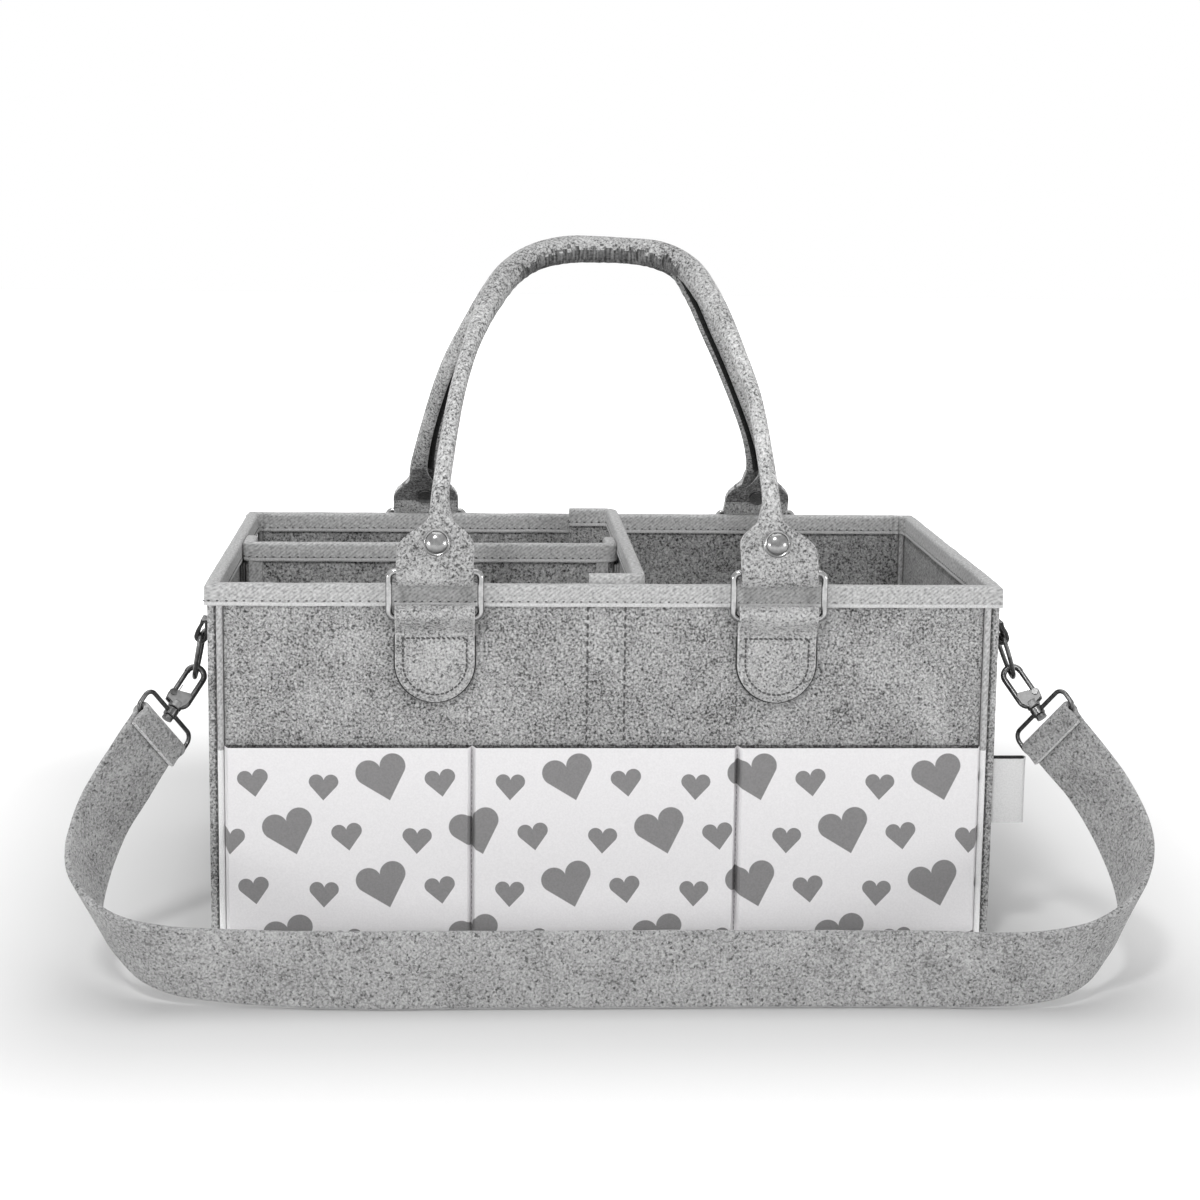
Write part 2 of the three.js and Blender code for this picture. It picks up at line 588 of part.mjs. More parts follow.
const planBlocks = (plan, grow, from, to) =>
  join(plan.map(([low, high]) =>
    block([low[0] - grow, low[1] - grow, from], [high[0] + grow, high[1] + grow, to])));

function addDivider(name, plan, top) {
  addPiece(name, planBlocks(plan, 0, wallFoot, top - TAPE - SEAM), FELT_GREY);
  const cover = planBlocks(plan, SEAM + TAPE, top - DIVIDER_TAPE_DROP, top);
  const groove = planBlocks(plan, SEAM, top - DIVIDER_TAPE_DROP - TAPE, top - TAPE);
  addPiece(`${name}_binding`, cut(cover, [groove]), TAPE_GREY);
}

// A strip on a wall that faces front or back: middle x, face that carries it, direction out of it
function addStripAcross(name, x, face, out, top) {
  const near = face + out * SEAM;
  const far = near + out * STRIP_FELT;
  const half = STRIP_WIDTH / 2;
  const low = [x - half, Math.min(near, far), STRIP_FOOT_Z];
  addPiece(name, block(low, [x + half, Math.max(near, far), top]), STRIP_GREY);
}

// A strip on a wall that faces left or right: middle y, face that carries it, direction out of it
function addStripAlong(name, y, face, out, top) {
  const near = face + out * SEAM;
  const far = near + out * STRIP_FELT;
  const half = STRIP_WIDTH / 2;
  const low = [Math.min(near, far), y - half, STRIP_FOOT_Z];
  addPiece(name, block(low, [Math.max(near, far), y + half, top]), STRIP_GREY);
}

function addDividers() {
  addDivider('cross_divider', crossPlan, HEIGHT + CROSS_RISE);
  addDivider('length_divider', lengthPlan, HEIGHT + LENGTH_RISE);
  const flapX = CROSS_X + DIVIDER_FELT / 2 - FLAP / 2;
  const flapY = lengthFront + FLAP / 2;
  const crossLeft = CROSS_X - DIVIDER_FELT / 2;
  addStripAcross('front_loop_strip', 0, -innerY, 1, stripTop);
  addStripAcross('back_loop_strip', 0, innerY, -1, stripTop);
  addStripAlong('left_loop_strip', flapY, -innerX, 1, stripTop);
  addStripAcross('cross_front_hook_strip', flapX, -crossEnd, -1, stripTop);
  addStripAcross('cross_back_hook_strip', flapX, crossEnd, 1, stripTop);
  addStripAlong('cross_loop_strip', flapY, crossLeft, -1, stripTop);
  addStripAlong('length_left_hook_strip', flapY, lengthLeft, -1, stripTop);
  addStripAlong('length_right_hook_strip', flapY, lengthRight, 1, stripTop);
}

// Side tabs, D rings, trigger hooks and strap loops, for the left (-1) and right (1) end

const endName = (side) => (side < 0 ? 'left' : 'right');
const clipY = -DEPTH / 2 + CLIP_BACK;
const dBar = (side) => vector(side * (LENGTH / 2 + D_BAR_OUT), clipY, HEIGHT - D_BAR_DROP);
const dDown = (side) => {
  const swing = radians(D_SWING[endName(side)]);
  return vector(side * Math.sin(swing), 0, -Math.cos(swing));
};
const outward = radians(HOOK_OUTWARD);
const forward = radians(HOOK_FORWARD);
const stemOf = (side) => vector(
  -side * Math.sin(outward) * Math.cos(forward), Math.sin(forward), Math.cos(outward) * Math.cos(forward),
);
const upperBarDown = HOOK_BOSS_HALF + SEAM + COLLAR_HALF;

// From a hook's own frame (Z up the stem, X outwards from the caddy, base at the origin)
function hookFrame(side) {
  const stem = stemOf(side);
  const out = vector(side * Math.cos(outward), 0, Math.sin(outward));
  const base = dBar(side).addScaledVector(dDown(side), D_LENGTH)
    .addScaledVector(out, HOOK_ASIDE).addScaledVector(stem, HOOK_HANG - HOOK_LENGTH);
  return new THREE.Matrix4().makeBasis(out, stem.clone().cross(out), stem).setPosition(base);
}

function sideTab(side) {
  const half = SIDE_TAB_WIDTH / 2;
  const bar = dBar(side);
  const face = LENGTH / 2 + SEAM;
  const [low, high] = [side * face, side * (face + 2 * SIDE_TAB_FELT)].toSorted((a, b) => a - b);
  const plate = block([low, clipY - half, bar.z], [high, clipY + half, HEIGHT - SIDE_TAB_DROP]);
  const alongY = (radius, reach) =>
    rod(radius, -reach, reach).rotateX(Math.PI / 2).translate(bar.x, bar.y, bar.z);
  const bore = D_WIRE / 2 + D_PLAY;
  return cut(join([plate, alongY(bore + SIDE_TAB_FELT, half)]), [alongY(bore, SIDE_TAB_WIDTH)]);
}

function sideRing(side) {
  const half = SIDE_TAB_WIDTH / 2 + D_SIDE_ROOM;
  const path = [
    ...arc(-half + D_CORNER, D_CORNER, D_CORNER, D_CORNER, 180, 270),
    ...arc(half - D_CORNER, D_CORNER, D_CORNER, D_CORNER, 270, 360),
    ...arc(0, D_CORNER, half, D_LENGTH - D_CORNER, 0, 180, 3 * BEND_STEPS).slice(1, -1),
  ];
  const stations = flatStations(path, dBar(side), vector(0, 1, 0), dDown(side), true);
  return sweep(circle(D_WIRE / 2), stations, true);
}

const gateX = HOOK_WIDTH / 2;
const noseEnd = HOOK_LENGTH - HOOK_WIDTH / 2 - HOOK_NOSE;
const gateEnd = noseEnd - GATE_PLAY;
const acrossHook = (geometry) => geometry.rotateX(Math.PI / 2); // from the Z axis to the pin's direction

function hookBody() {
  const r = HOOK_WIDTH / 2;
  const tip = HOOK_LENGTH - r;
  const path = [
    [HOOK_HEEL, 0], ...arc(0, r, r, r, 270, 180), ...arc(0, tip, r, r, 180, 0, 2 * BEND_STEPS), [r, noseEnd],
  ];
  const wire = sweep(
    circle(HOOK_WIRE / 2), flatStations(path, vector(0, 0, 0), vector(1, 0, 0), vector(0, 0, 1), false),
  );
  const boss = rod(HOOK_BOSS / 2, -HOOK_BOSS_HALF, HOOK_BOSS_HALF);
  const room = GATE_THICK / 2 + GATE_PLAY;
  const ear = (side) => {
    const ys = [side * room, side * (room + CHEEK)].toSorted((a, b) => a - b);
    const low = [gateX - HOOK_BOSS / 2, ys[0], -HOOK_BOSS_HALF / 2];
    return block(low, [gateX + CHEEK_REACH, ys[1], GATE_PIVOT + CHEEK_REACH]);
  };
  const slot = block(
    [gateX - GATE_WIDTH, -room, HOOK_BOSS_HALF / 2], [gateX + 2 * GATE_WIDTH, room, noseEnd / 2]);
  const postHole = rod(POST_RADIUS + SEAM, -2 * HOOK_BOSS_HALF, 2 * HOOK_BOSS_HALF);
  const pinHole = acrossHook(rod(PIN_RADIUS + SEAM, -HOOK_BOSS, HOOK_BOSS)).translate(gateX, 0, GATE_PIVOT);
  return cut(join([wire, boss, ear(-1), ear(1)]), [slot, postHole, pinHole]);
}

function gate() {
  const half = GATE_WIDTH / 2;
  const outline = [
    ...arc(gateX, GATE_PIVOT, half, half, 180, 360, 2 * BEND_STEPS),
    [gateX + half, gateEnd], [gateX - half, gateEnd],
  ];
  const bar = acrossHook(raise(outline, -GATE_THICK / 2, GATE_THICK / 2));
  const pinHole = acrossHook(rod(PIN_RADIUS + SEAM / 2, -HOOK_BOSS, HOOK_BOSS))
    .translate(gateX, 0, GATE_PIVOT);
  return cut(bar, [pinHole]);
}

function gatePin() {
  const reach = GATE_THICK / 2 + GATE_PLAY + CHEEK + SEAM;
  const head = 2 * PIN_RADIUS;
  const profile = [
    [0, -reach - PIN_HEAD], [head, -reach - PIN_HEAD], [head, -reach], [PIN_RADIUS, -reach],
    [PIN_RADIUS, reach], [head, reach], [head, reach + PIN_HEAD], [0, reach + PIN_HEAD],
  ];
  return acrossHook(turned(profile, WIRE_SIDES)).translate(gateX, 0, GATE_PIVOT);
}

// Leaf spring: it stands on the hook's boss and lies along the inside of the gate.
function gateSpring() {
  const foot = HOOK_BOSS_HALF + SEAM;
  const face = gateX - GATE_WIDTH / 2 - SEAM;
  return block([face - LEAF, -GATE_THICK / 2, foot], [face, GATE_THICK / 2, foot + LEAF_LENGTH]);
}

// Swivel post: head inside the strap loop, shank through the collar and the boss, and a clinched end
function swivelPost() {
  const headTop = -upperBarDown - COLLAR_HALF - SEAM;
  const clinch = HOOK_BOSS_HALF + SEAM;
  const clinchRadius = POST_RADIUS + SEAM;
  return turned([
    [0, headTop - POST_HEAD], [POST_HEAD_RADIUS, headTop - POST_HEAD], [POST_HEAD_RADIUS, headTop],
    [POST_RADIUS, headTop], [POST_RADIUS, clinch], [clinchRadius, clinch],
    [clinchRadius, clinch + SEAM], [0, clinch + SEAM],
  ]);
}

// The loop's long bars lie across the stem, turned about it, with the outer end forwards.
const loopAcross = (side) => {
  const turn = radians(LOOP_TURN);
  return vector(Math.cos(turn), -side * Math.sin(turn), 0);
};

function strapLoop(side) {
  const path = roundedLoop(STRAP_WIDTH + 2 * LOOP_END_ROOM, LOOP_SPAN, LOOP_CORNER, LOOP_SHOULDER);
  const middle = vector(0, 0, -upperBarDown - LOOP_SPAN / 2);
  const across = loopAcross(side);
  const wire = sweep(circle(LOOP_WIRE / 2), flatStations(path, middle, across, vector(0, 0, 1), true), true);
  const collar = rod(COLLAR_RADIUS, -upperBarDown - COLLAR_HALF, -upperBarDown + COLLAR_HALF);
  const hole = rod(POST_RADIUS + SEAM, -upperBarDown - 2 * COLLAR_HALF, -upperBarDown + 2 * COLLAR_HALF);
  return cut(join([wire, collar]), [hole]);
}

function addClip(side) {
  const end = endName(side);
  addPiece(`${end}_side_tab`, sideTab(side), FELT_GREY);
  addPiece(`${end}_side_ring`, sideRing(side), DARK_METAL);
  const group = new THREE.Group();
  group.applyMatrix4(hookFrame(side));
  caddy.add(group);
  addPiece(`${end}_hook`, hookBody(), DARK_METAL, group);
  addPiece(`${end}_gate`, gate(), DARK_METAL, group);
  addPiece(`${end}_gate_pin`, gatePin(), DARK_METAL, group);
  addPiece(`${end}_gate_spring`, gateSpring(), BRIGHT_METAL, group);
  addPiece(`${end}_swivel_post`, swivelPost(), DARK_METAL, group);
  addPiece(`${end}_strap_loop`, strapLoop(side), DARK_METAL, group);
}

// Shoulder strap: a felt band folded over the lower bar of each loop

// Stations of one folded end, from the end of the flap to the start of the long run
function foldStations(side) {
  const frame = hookFrame(side);
  const across = loopAcross(side).transformDirection(frame);
  const down = stemOf(side).negate();
  const front = across.clone().cross(down);
  if (front.y > 0) front.negate();
  const bar = vector(0, 0, -upperBarDown - LOOP_SPAN).applyMatrix4(frame);
  const bend = LOOP_WIRE / 2 + STRAP_FOLD_PLAY + STRAP_FELT / 2;
  const closed = (STRAP_FELT + SEAM) / 2;
  const path = [
    [STRAP_FLAP, closed], [STRAP_FLAP / 2, closed], ...arc(0, 0, bend, bend, 90, 270, 2 * BEND_STEPS),
    [STRAP_FLAP / 2, -closed], [STRAP_FLAP, -closed],
  ];
  return flatStations(path, bar, down, front, false).map(({ at }) => ({ at, edge: across }));
}

// Places on the strap's route from one loop to the front
const routeHalf = (side) => STRAP_ROUTE[endName(side)].map(({ past, ahead, rise, edge }) => ({
  at: vector(side * (LENGTH / 2 + past), -DEPTH / 2 - ahead, STRAP_WIDTH / 2 + rise),
  edge: vector(side * edge[0], -edge[1], edge[2]).normalize(),
}));

function strapStations() {
  const left = foldStations(-1);
  const right = foldStations(1).toReversed();
  const run = [left.at(-1), ...routeHalf(-1), ...routeHalf(1).toReversed(), right[0]];
  const line = new THREE.CatmullRomCurve3(run.map(({ at }) => at), false, 'centripetal');
  const edges = new THREE.CatmullRomCurve3(run.map(({ edge }) => edge), false, 'centripetal');
  const middle = [];
  for (let i = 1; i < STRAP_STEPS; i += 1) {
    const share = line.getUtoTmapping(i / STRAP_STEPS);
    middle.push({ at: line.getPoint(share), edge: edges.getPoint(share) });
  }
  const all = [...left, ...middle, ...right];
  return all.map(({ at, edge }, i) => {
    const before = all[Math.max(i - 1, 0)].at;
    const after = all[Math.min(i + 1, all.length - 1)].at;
    const along = after.clone().sub(before).normalize();
    const across = edge.clone().addScaledVector(along, -edge.dot(along)).normalize();
    return { at, across, out: along.clone().cross(across) };
  });
}

function addStrap() {
  const band = rectangle(STRAP_WIDTH / 2, STRAP_FELT / 2);
  addPiece('shoulder_strap', sweep(band, strapStations()), FELT_GREY);
}

addShell();
addRimBinding();
addCornerBindings();
addPocketPanel();
addSideLabel();
addHandle('front', 0, { footX: FRONT_FOOT_X, shift: 0, lower: 0, lean: FRONT_TAB_LEAN, bowed: true });
addHandle('back', Math.PI, {
  footX: BACK_FOOT_X, shift: BACK_HANDLE_SHIFT, lower: BACK_HANDLE_LOWER, lean: BACK_TAB_LEAN, bowed: false,
});
addDividers();
addClip(-1);
addClip(1);
addStrap();

export default caddy;
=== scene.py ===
# %% [markdown]
# # A felt nursery caddy, dressed in Blender
# The caddy is a soft box of pressed grey felt with a printed pocket panel, two rolled handles,
# loose dividers and a clip-on shoulder strap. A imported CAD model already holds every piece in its
# place, so this lesson never guesses a position: each soft solid is rebuilt here as cloth, felt or
# tape in the room that the CAD gives it.

# %% Load the frame
import math

import bmesh
import bpy
from mathutils import Matrix, Vector, noise


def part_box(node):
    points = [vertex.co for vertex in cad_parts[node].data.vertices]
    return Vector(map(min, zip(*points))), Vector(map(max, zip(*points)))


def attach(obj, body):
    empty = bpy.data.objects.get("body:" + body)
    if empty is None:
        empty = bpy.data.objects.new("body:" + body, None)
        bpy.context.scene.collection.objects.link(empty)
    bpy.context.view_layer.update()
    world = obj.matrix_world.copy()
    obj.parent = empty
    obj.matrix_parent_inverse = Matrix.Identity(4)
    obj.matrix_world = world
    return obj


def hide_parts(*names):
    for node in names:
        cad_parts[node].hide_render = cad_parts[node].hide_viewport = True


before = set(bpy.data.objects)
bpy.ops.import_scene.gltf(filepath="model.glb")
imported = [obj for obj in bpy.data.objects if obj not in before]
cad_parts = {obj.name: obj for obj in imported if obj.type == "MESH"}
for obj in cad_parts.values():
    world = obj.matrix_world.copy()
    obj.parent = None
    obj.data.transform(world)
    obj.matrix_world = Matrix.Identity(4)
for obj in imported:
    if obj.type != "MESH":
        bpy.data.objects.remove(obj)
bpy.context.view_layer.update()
MM = 0.001

# %% [markdown]
# ## Camera
# The picture was taken from a little above the rim with a long lens, slightly left of the middle. A
# camera could be aimed with a Track To constraint, but here the matrix is written from yaw, pitch
# and roll, so that the small roll of the picture is kept and nothing depends on Blender's own
# render size.

# %% Camera
CAMERA_TURN = (3.14, 9.76, 0.73)  # yaw, pitch and roll, degrees
CAMERA_PLACE = (-69.06, -1324.25, 379.03)  # mm
LENS, SENSOR = 76.485, 36  # mm


def link_new(name, data):
    obj = bpy.data.objects.new(name, data)
    bpy.context.scene.collection.objects.link(obj)
    return obj


def unit_axes(yaw, pitch, roll):
    level_reach = math.cos(pitch)
    forward = Vector((math.sin(yaw) * level_reach, math.cos(yaw) * level_reach, -math.sin(pitch)))
    level = Vector((math.cos(yaw), -math.sin(yaw), 0))
    right = level * math.cos(roll) + level.cross(forward) * math.sin(roll)
    return right, right.cross(forward), -forward


camera_data = bpy.data.cameras.new("camera")
camera_data.sensor_width = SENSOR
camera_data.lens = LENS
camera_data.clip_end = 50
camera = link_new("camera", camera_data)
camera_axes = unit_axes(*(math.radians(angle) for angle in CAMERA_TURN))
camera.matrix_world = Matrix(camera_axes).transposed().to_4x4()
camera.matrix_world.translation = Vector(CAMERA_PLACE) * MM
bpy.context.scene.camera = camera
print("camera at", [round(v, 3) for v in camera.matrix_world.translation])

# %% [markdown]
# ## Node helpers for the finishes
# Every finish is a small shader tree. Writing `nodes.new`, setting values and linking by hand fills
# pages, so one helper adds a node, sets its options and either fills or links each input by name.
# Short helpers for what comes back most often, a noise, a ramp, a sum and a bump, are built on it.

# %% Shader helpers
def add_node(tree, kind, inputs=None, **options):
    node = tree.nodes.new(kind)
    for name, value in options.items():
        setattr(node, name, value)
    for name, value in (inputs or {}).items():
        if isinstance(value, bpy.types.NodeSocket):
            tree.links.new(value, node.inputs[name])
        else:
            node.inputs[name].default_value = value
    return node


def new_finish(name, roughness, metallic=0.0, sheen=0.0):
    finish = bpy.data.materials.new(name)
    finish.use_nodes = True
    shader = finish.node_tree.nodes["Principled BSDF"]
    shader.inputs["Roughness"].default_value = roughness
    shader.inputs["Metallic"].default_value = metallic
    shader.inputs["Sheen Weight"].default_value = sheen
    return finish, finish.node_tree, shader


def ramp(tree, factor, stops):
    node = add_node(tree, "ShaderNodeValToRGB", {"Fac": factor})
    while len(node.color_ramp.elements) < len(stops):
        node.color_ramp.elements.new(0.5)
    for element, (place, grey) in zip(node.color_ramp.elements, stops):
        element.position = place
        element.color = (*grey, 1) if isinstance(grey, tuple) else (grey, grey, grey, 1)
    return node.outputs["Color"]


def math_node(tree, operation, *values):
    return add_node(tree, "ShaderNodeMath", dict(enumerate(values)), operation=operation).outputs[0]


def noise_at(tree, place, scale, **more):
    node = add_node(tree, "ShaderNodeTexNoise", {"Vector": place, "Scale": scale, **more})
    return node.outputs["Fac"]


def multiplied(tree, one, other):
    node = add_node(tree, "ShaderNodeMix", {"Factor": 1.0, "A": one, "B": other},
                    data_type="RGBA", blend_type="MULTIPLY")
    return node.outputs["Result"]


def bump(tree, shader, height, distance, strength=1.0):
    node = add_node(tree, "ShaderNodeBump",
                    {"Height": height, "Distance": distance, "Strength": strength})
    tree.links.new(node.outputs["Normal"], shader.inputs["Normal"])


# %% [markdown]
# ## Felt
# Pressed felt is a mat of short fibres, some pale and some nearly black, so its grey is a fine
# speckle and not one tone. Hair particles would show every fibre but are far too heavy for a whole
# bag. Three noises do it: one for the fibres, one for the cloudy patches that uneven pressing
# leaves, and one that multiplies in a few nearly black flecks. The handles' felt gets painted shade:
# a ramp over the height, multiplied in as well, darkens their feet and their bend. Paler finishes
# paint a highlight on lit edges and strap ends, and near-black ones paint shade in the pocket's
# mouth and on the back handle's tabs.

# %% Felt finishes
# the handles' painted shade: a ramp of multipliers over these heights darkens the feet and the bend
HANDLE_SHADE_FROM, HANDLE_SHADE_TO = 0.19, 0.35  # the heights that a handle's tones are spread over, metres
HANDLE_SHADE_STOPS = ((0.09, 0.72), (0.26, 1.0), (0.65, 1.0), (0.82, 0.76))


def felt_finish(name, dark, middle, light, painted_shade=None):
    finish, tree, shader = new_finish(name, 0.95, sheen=0.15)
    place = add_node(tree, "ShaderNodeTexCoord").outputs["Object"]
    fibre = noise_at(tree, place, 880.0, Detail=1.5, Roughness=0.5, Distortion=0.5)
    pressing = noise_at(tree, place, 46.0, Detail=4.0, Roughness=0.66)
    mat = math_node(tree, "MULTIPLY_ADD", pressing, 0.4, math_node(tree, "SUBTRACT", fibre, 0.2))
    colour = ramp(tree, mat, ((0.3, dark), (0.44, middle[0]), (0.55, middle[1]), (0.7, light)))
    shifted = add_node(tree, "ShaderNodeMapping", {"Vector": place, "Location": (0.3, 0.7, 0.1)})
    fleck = noise_at(tree, shifted.outputs[0], 620.0, Detail=1.0)
    felt = multiplied(tree, colour, ramp(tree, fleck, ((0.27, 0.3), (0.4, 1.0))))
    # painted shade by height, multiplied into the felt
    if painted_shade:
        height = add_node(tree, "ShaderNodeSeparateXYZ", {"Vector": place}).outputs["Z"]
        share = add_node(tree, "ShaderNodeMapRange", {
            "Value": height, "From Min": HANDLE_SHADE_FROM, "From Max": HANDLE_SHADE_TO}).outputs[0]
        felt = multiplied(tree, felt, ramp(tree, share, painted_shade))
    tree.links.new(felt, shader.inputs["Base Color"])
    bump(tree, shader, fibre, 0.0005, 0.6)
    return finish


wall_felt = felt_finish("wall_felt", 0.065, (0.275, 0.375), 0.57)
tab_felt = felt_finish("tab_felt", 0.13, (0.33, 0.43), 0.58)
strap_felt = felt_finish("strap_felt", 0.15, (0.275, 0.34), 0.45)
# paler finishes that paint a highlight on the lit cut edges of tabs and handle feet, and on the strap's
# ends
painted_edge_highlight = felt_finish("painted_edge_highlight", 0.24, (0.48, 0.58), 0.74)
painted_end_highlight = felt_finish("painted_strap_end_light", 0.45, (0.72, 0.8), 0.88)
# near-black felt that paints the shade in the pocket's mouth
painted_mouth_shade = felt_finish("painted_mouth_shade", 0.02, (0.07, 0.13), 0.26)
# near-black felt that paints shade on the back handle's tabs
painted_tab_shade = felt_finish("painted_tab_shade", 0.05, (0.13, 0.19), 0.32)
# handle felt, darkened at the feet and the bend by painted shade
handle_felt_with_shade = felt_finish("handle_felt_with_shade", 0.09, (0.4, 0.54), 0.74, HANDLE_SHADE_STOPS)
felts = (wall_felt, tab_felt, strap_felt, painted_edge_highlight, painted_end_highlight, painted_mouth_shade, painted_tab_shade, handle_felt_with_shade)
print("felt finishes:", [felt.name for felt in felts])

# %% [markdown]
# ## Twill tape
# The rim, the corners and the dividers are bound with a thin twill tape, paler than the felt, whose
# ribs run at a slant to the edge. The tape turns corners, so its ribs follow each piece's own UV
# map, which is laid out in metres along and across the tape. One wave makes the ribs and a noise
# keeps them from looking printed.

# %% Tape finish
tape_grey, tree, shader = new_finish("tape_grey", 0.85, sheen=0.1)
along_tape = add_node(tree, "ShaderNodeTexCoord").outputs["UV"]
slant = add_node(tree, "ShaderNodeMapping", {"Vector": along_tape, "Rotation": (0, 0, 0.9)})
ribs = add_node(tree, "ShaderNodeTexWave", {
    "Vector": slant.outputs[0], "Scale": 210.0, "Distortion": 0.8, "Detail": 1.0, "Detail Scale": 1.5})
yarn = noise_at(tree, along_tape, 620.0, Detail=2.0)
weave = math_node(tree, "MULTIPLY_ADD", ribs.outputs["Fac"], 0.14, yarn)
tape_tone = ramp(tree, weave, ((0.34, 0.25), (0.57, 0.43), (0.8, 0.58)))
tree.links.new(tape_tone, shader.inputs["Base Color"])
bump(tree, shader, weave, 0.00025, 0.6)
print("tape finish:", tape_grey.name)

# %% [markdown]
# ## Printed cloth
# The pocket panel is plain white cloth with scattered grey hearts, a common print that repeats in a
# half-drop: every second row is moved sideways by half a repeat. Each heart could be a cut-out
# mesh, but a print has no thickness, so a node group draws one heart from its formula and wraps it
# over the cloth. Three hearts make one repeat, and each is drawn twice for the two kinds of row.

# %% Heart group and printed cloth
heart_group = bpy.data.node_groups.new("one heart of the repeat", "ShaderNodeTree")
for socket in ("Across", "Up", "Tip across", "Tip up", "Tilt", "Height"):
    heart_group.interface.new_socket(socket, in_out="INPUT", socket_type="NodeSocketFloat")
heart_group.interface.new_socket("Ink", in_out="OUTPUT", socket_type="NodeSocketFloat")
REPEAT_ACROSS, REPEAT_UP = 0.08935, 0.0532
LOBE_ASIDE, LOBE_RADIUS = 0.3775, 0.3876  # for a heart whose lobes have their middles 1 above the tip
SIDE_SLOPE = math.radians(48.05)  # of the straight sides that leave the tip, from the level
CHEST_SLOPE, CHEST_REACH = math.radians(27.45), 0.964  # where the sides run into the lobes
INK_EDGE = 50.0  # how sharply the ink ends at a heart's outline


def fill_heart_group(tree):
    given = add_node(tree, "NodeGroupInput").outputs
    wrapped = []
    for place, tip, repeat in (("Across", "Tip across", REPEAT_ACROSS), ("Up", "Tip up", REPEAT_UP)):
        offset = math_node(tree, "SUBTRACT", given[place], given[tip])
        wrapped.append(math_node(tree, "WRAP", offset, repeat / 2, -repeat / 2))
    cosine = math_node(tree, "COSINE", given["Tilt"])
    sine = math_node(tree, "SINE", given["Tilt"])
    x = math_node(tree, "MULTIPLY_ADD", wrapped[0], cosine,
                  math_node(tree, "MULTIPLY", wrapped[1], sine))
    y = math_node(tree, "SUBTRACT", math_node(tree, "MULTIPLY", wrapped[1], cosine),
                  math_node(tree, "MULTIPLY", wrapped[0], sine))
    x = math_node(tree, "ABSOLUTE", math_node(tree, "DIVIDE", x, given["Height"]))
    y = math_node(tree, "DIVIDE", y, given["Height"])
    aside = math_node(tree, "SUBTRACT", x, LOBE_ASIDE)
    above = math_node(tree, "SUBTRACT", y, 1.0)
    away = math_node(tree, "MULTIPLY_ADD", aside, aside, math_node(tree, "MULTIPLY", above, above))
    lobe = math_node(tree, "SUBTRACT", LOBE_RADIUS, math_node(tree, "SQRT", away))
    side = math_node(tree, "MULTIPLY_ADD", y, math.cos(SIDE_SLOPE),
                     math_node(tree, "MULTIPLY", x, -math.sin(SIDE_SLOPE)))
    chest = math_node(tree, "MULTIPLY_ADD", y, -math.cos(CHEST_SLOPE),
                      math_node(tree, "MULTIPLY_ADD", x, -math.sin(CHEST_SLOPE), CHEST_REACH))
    inside = math_node(tree, "MAXIMUM", lobe, math_node(tree, "MINIMUM", side, chest))
    ink = math_node(tree, "MULTIPLY_ADD", inside, INK_EDGE, 0.5)
    ink = math_node(tree, "MINIMUM", math_node(tree, "MAXIMUM", ink, 0.0), 1.0)
    result = add_node(tree, "NodeGroupOutput")
    tree.links.new(ink, result.inputs["Ink"])


fill_heart_group(heart_group)
HEARTS = (  # tip across and up, tilt, height of the lobes' middles over the tip: metres, radians
    (-0.1033, 0.0758, 0.29, 0.01592),
    (-0.0781, 0.0776, 0.14, 0.0096),
    (-0.0458, 0.0758, -0.02, 0.0092),
)

printed_cloth, tree, shader = new_finish("printed_cloth", 0.9, sheen=0.1)
place = add_node(tree, "ShaderNodeTexCoord").outputs["Object"]
places = add_node(tree, "ShaderNodeSeparateXYZ", {0: place}).outputs
inks = []
for across, up, tilt, height in HEARTS:
    for shift, drop in ((0, 0), (REPEAT_ACROSS / 2, REPEAT_UP / 2)):
        heart = add_node(tree, "ShaderNodeGroup", node_tree=heart_group)
        tree.links.new(places["X"], heart.inputs["Across"])
        tree.links.new(places["Z"], heart.inputs["Up"])
        values = (across + shift, up - drop, tilt, height)
        for socket, value in zip(("Tip across", "Tip up", "Tilt", "Height"), values):
            heart.inputs[socket].default_value = value
        inks.append(heart.outputs["Ink"])
ink = inks[0]
for other in inks[1:]:
    ink = math_node(tree, "MAXIMUM", ink, other)
threads = noise_at(tree, place, 1100.0, Detail=2.0)
grey = ramp(tree, threads, ((0.3, (0.212, 0.209, 0.211)), (0.7, (0.247, 0.243, 0.245))))
white = ramp(tree, threads, ((0.3, (0.755, 0.745, 0.755)), (0.7, (0.805, 0.795, 0.805))))
print_mix = add_node(tree, "ShaderNodeMix", {"Factor": ink, "A": white, "B": grey}, data_type="RGBA")
tree.links.new(print_mix.outputs["Result"], shader.inputs["Base Color"])
bump(tree, shader, threads, 0.00012, 0.5)
print("hearts in one repeat:", len(HEARTS))

# %% [markdown]
# ## Metal, thread, ribbon and strips
# The rings are bright chrome and the rivets a duller steel. The clips are dark gunmetal with faint
# wear, paler on the plates and black on the pin heads. Thread is drawn as small beads, with a dark
# dimple that paints the shade in the hole where the needle went in. The hook-and-loop strips inside
# get a bristly bump, and the hem of the tape gets a painted highlight. The felt under the bend of the
# handles gets short dark creases across the roll, which follow its UV map and also paint the shade
# on the grip's underside.

# %% Small finishes
def metal_finish(name, dull, bright, roughness):
    finish, tree, shader = new_finish(name, roughness, metallic=1.0)
    place = add_node(tree, "ShaderNodeTexCoord").outputs["Object"]
    wear = noise_at(tree, place, 420.0, Detail=4.0)
    tree.links.new(ramp(tree, wear, ((0.35, dull), (0.65, bright))), shader.inputs["Base Color"])
    rough = math_node(tree, "MULTIPLY_ADD", wear, 0.2, roughness - 0.1)
    tree.links.new(rough, shader.inputs["Roughness"])
    bump(tree, shader, wear, 0.00005, 0.3)
    return finish


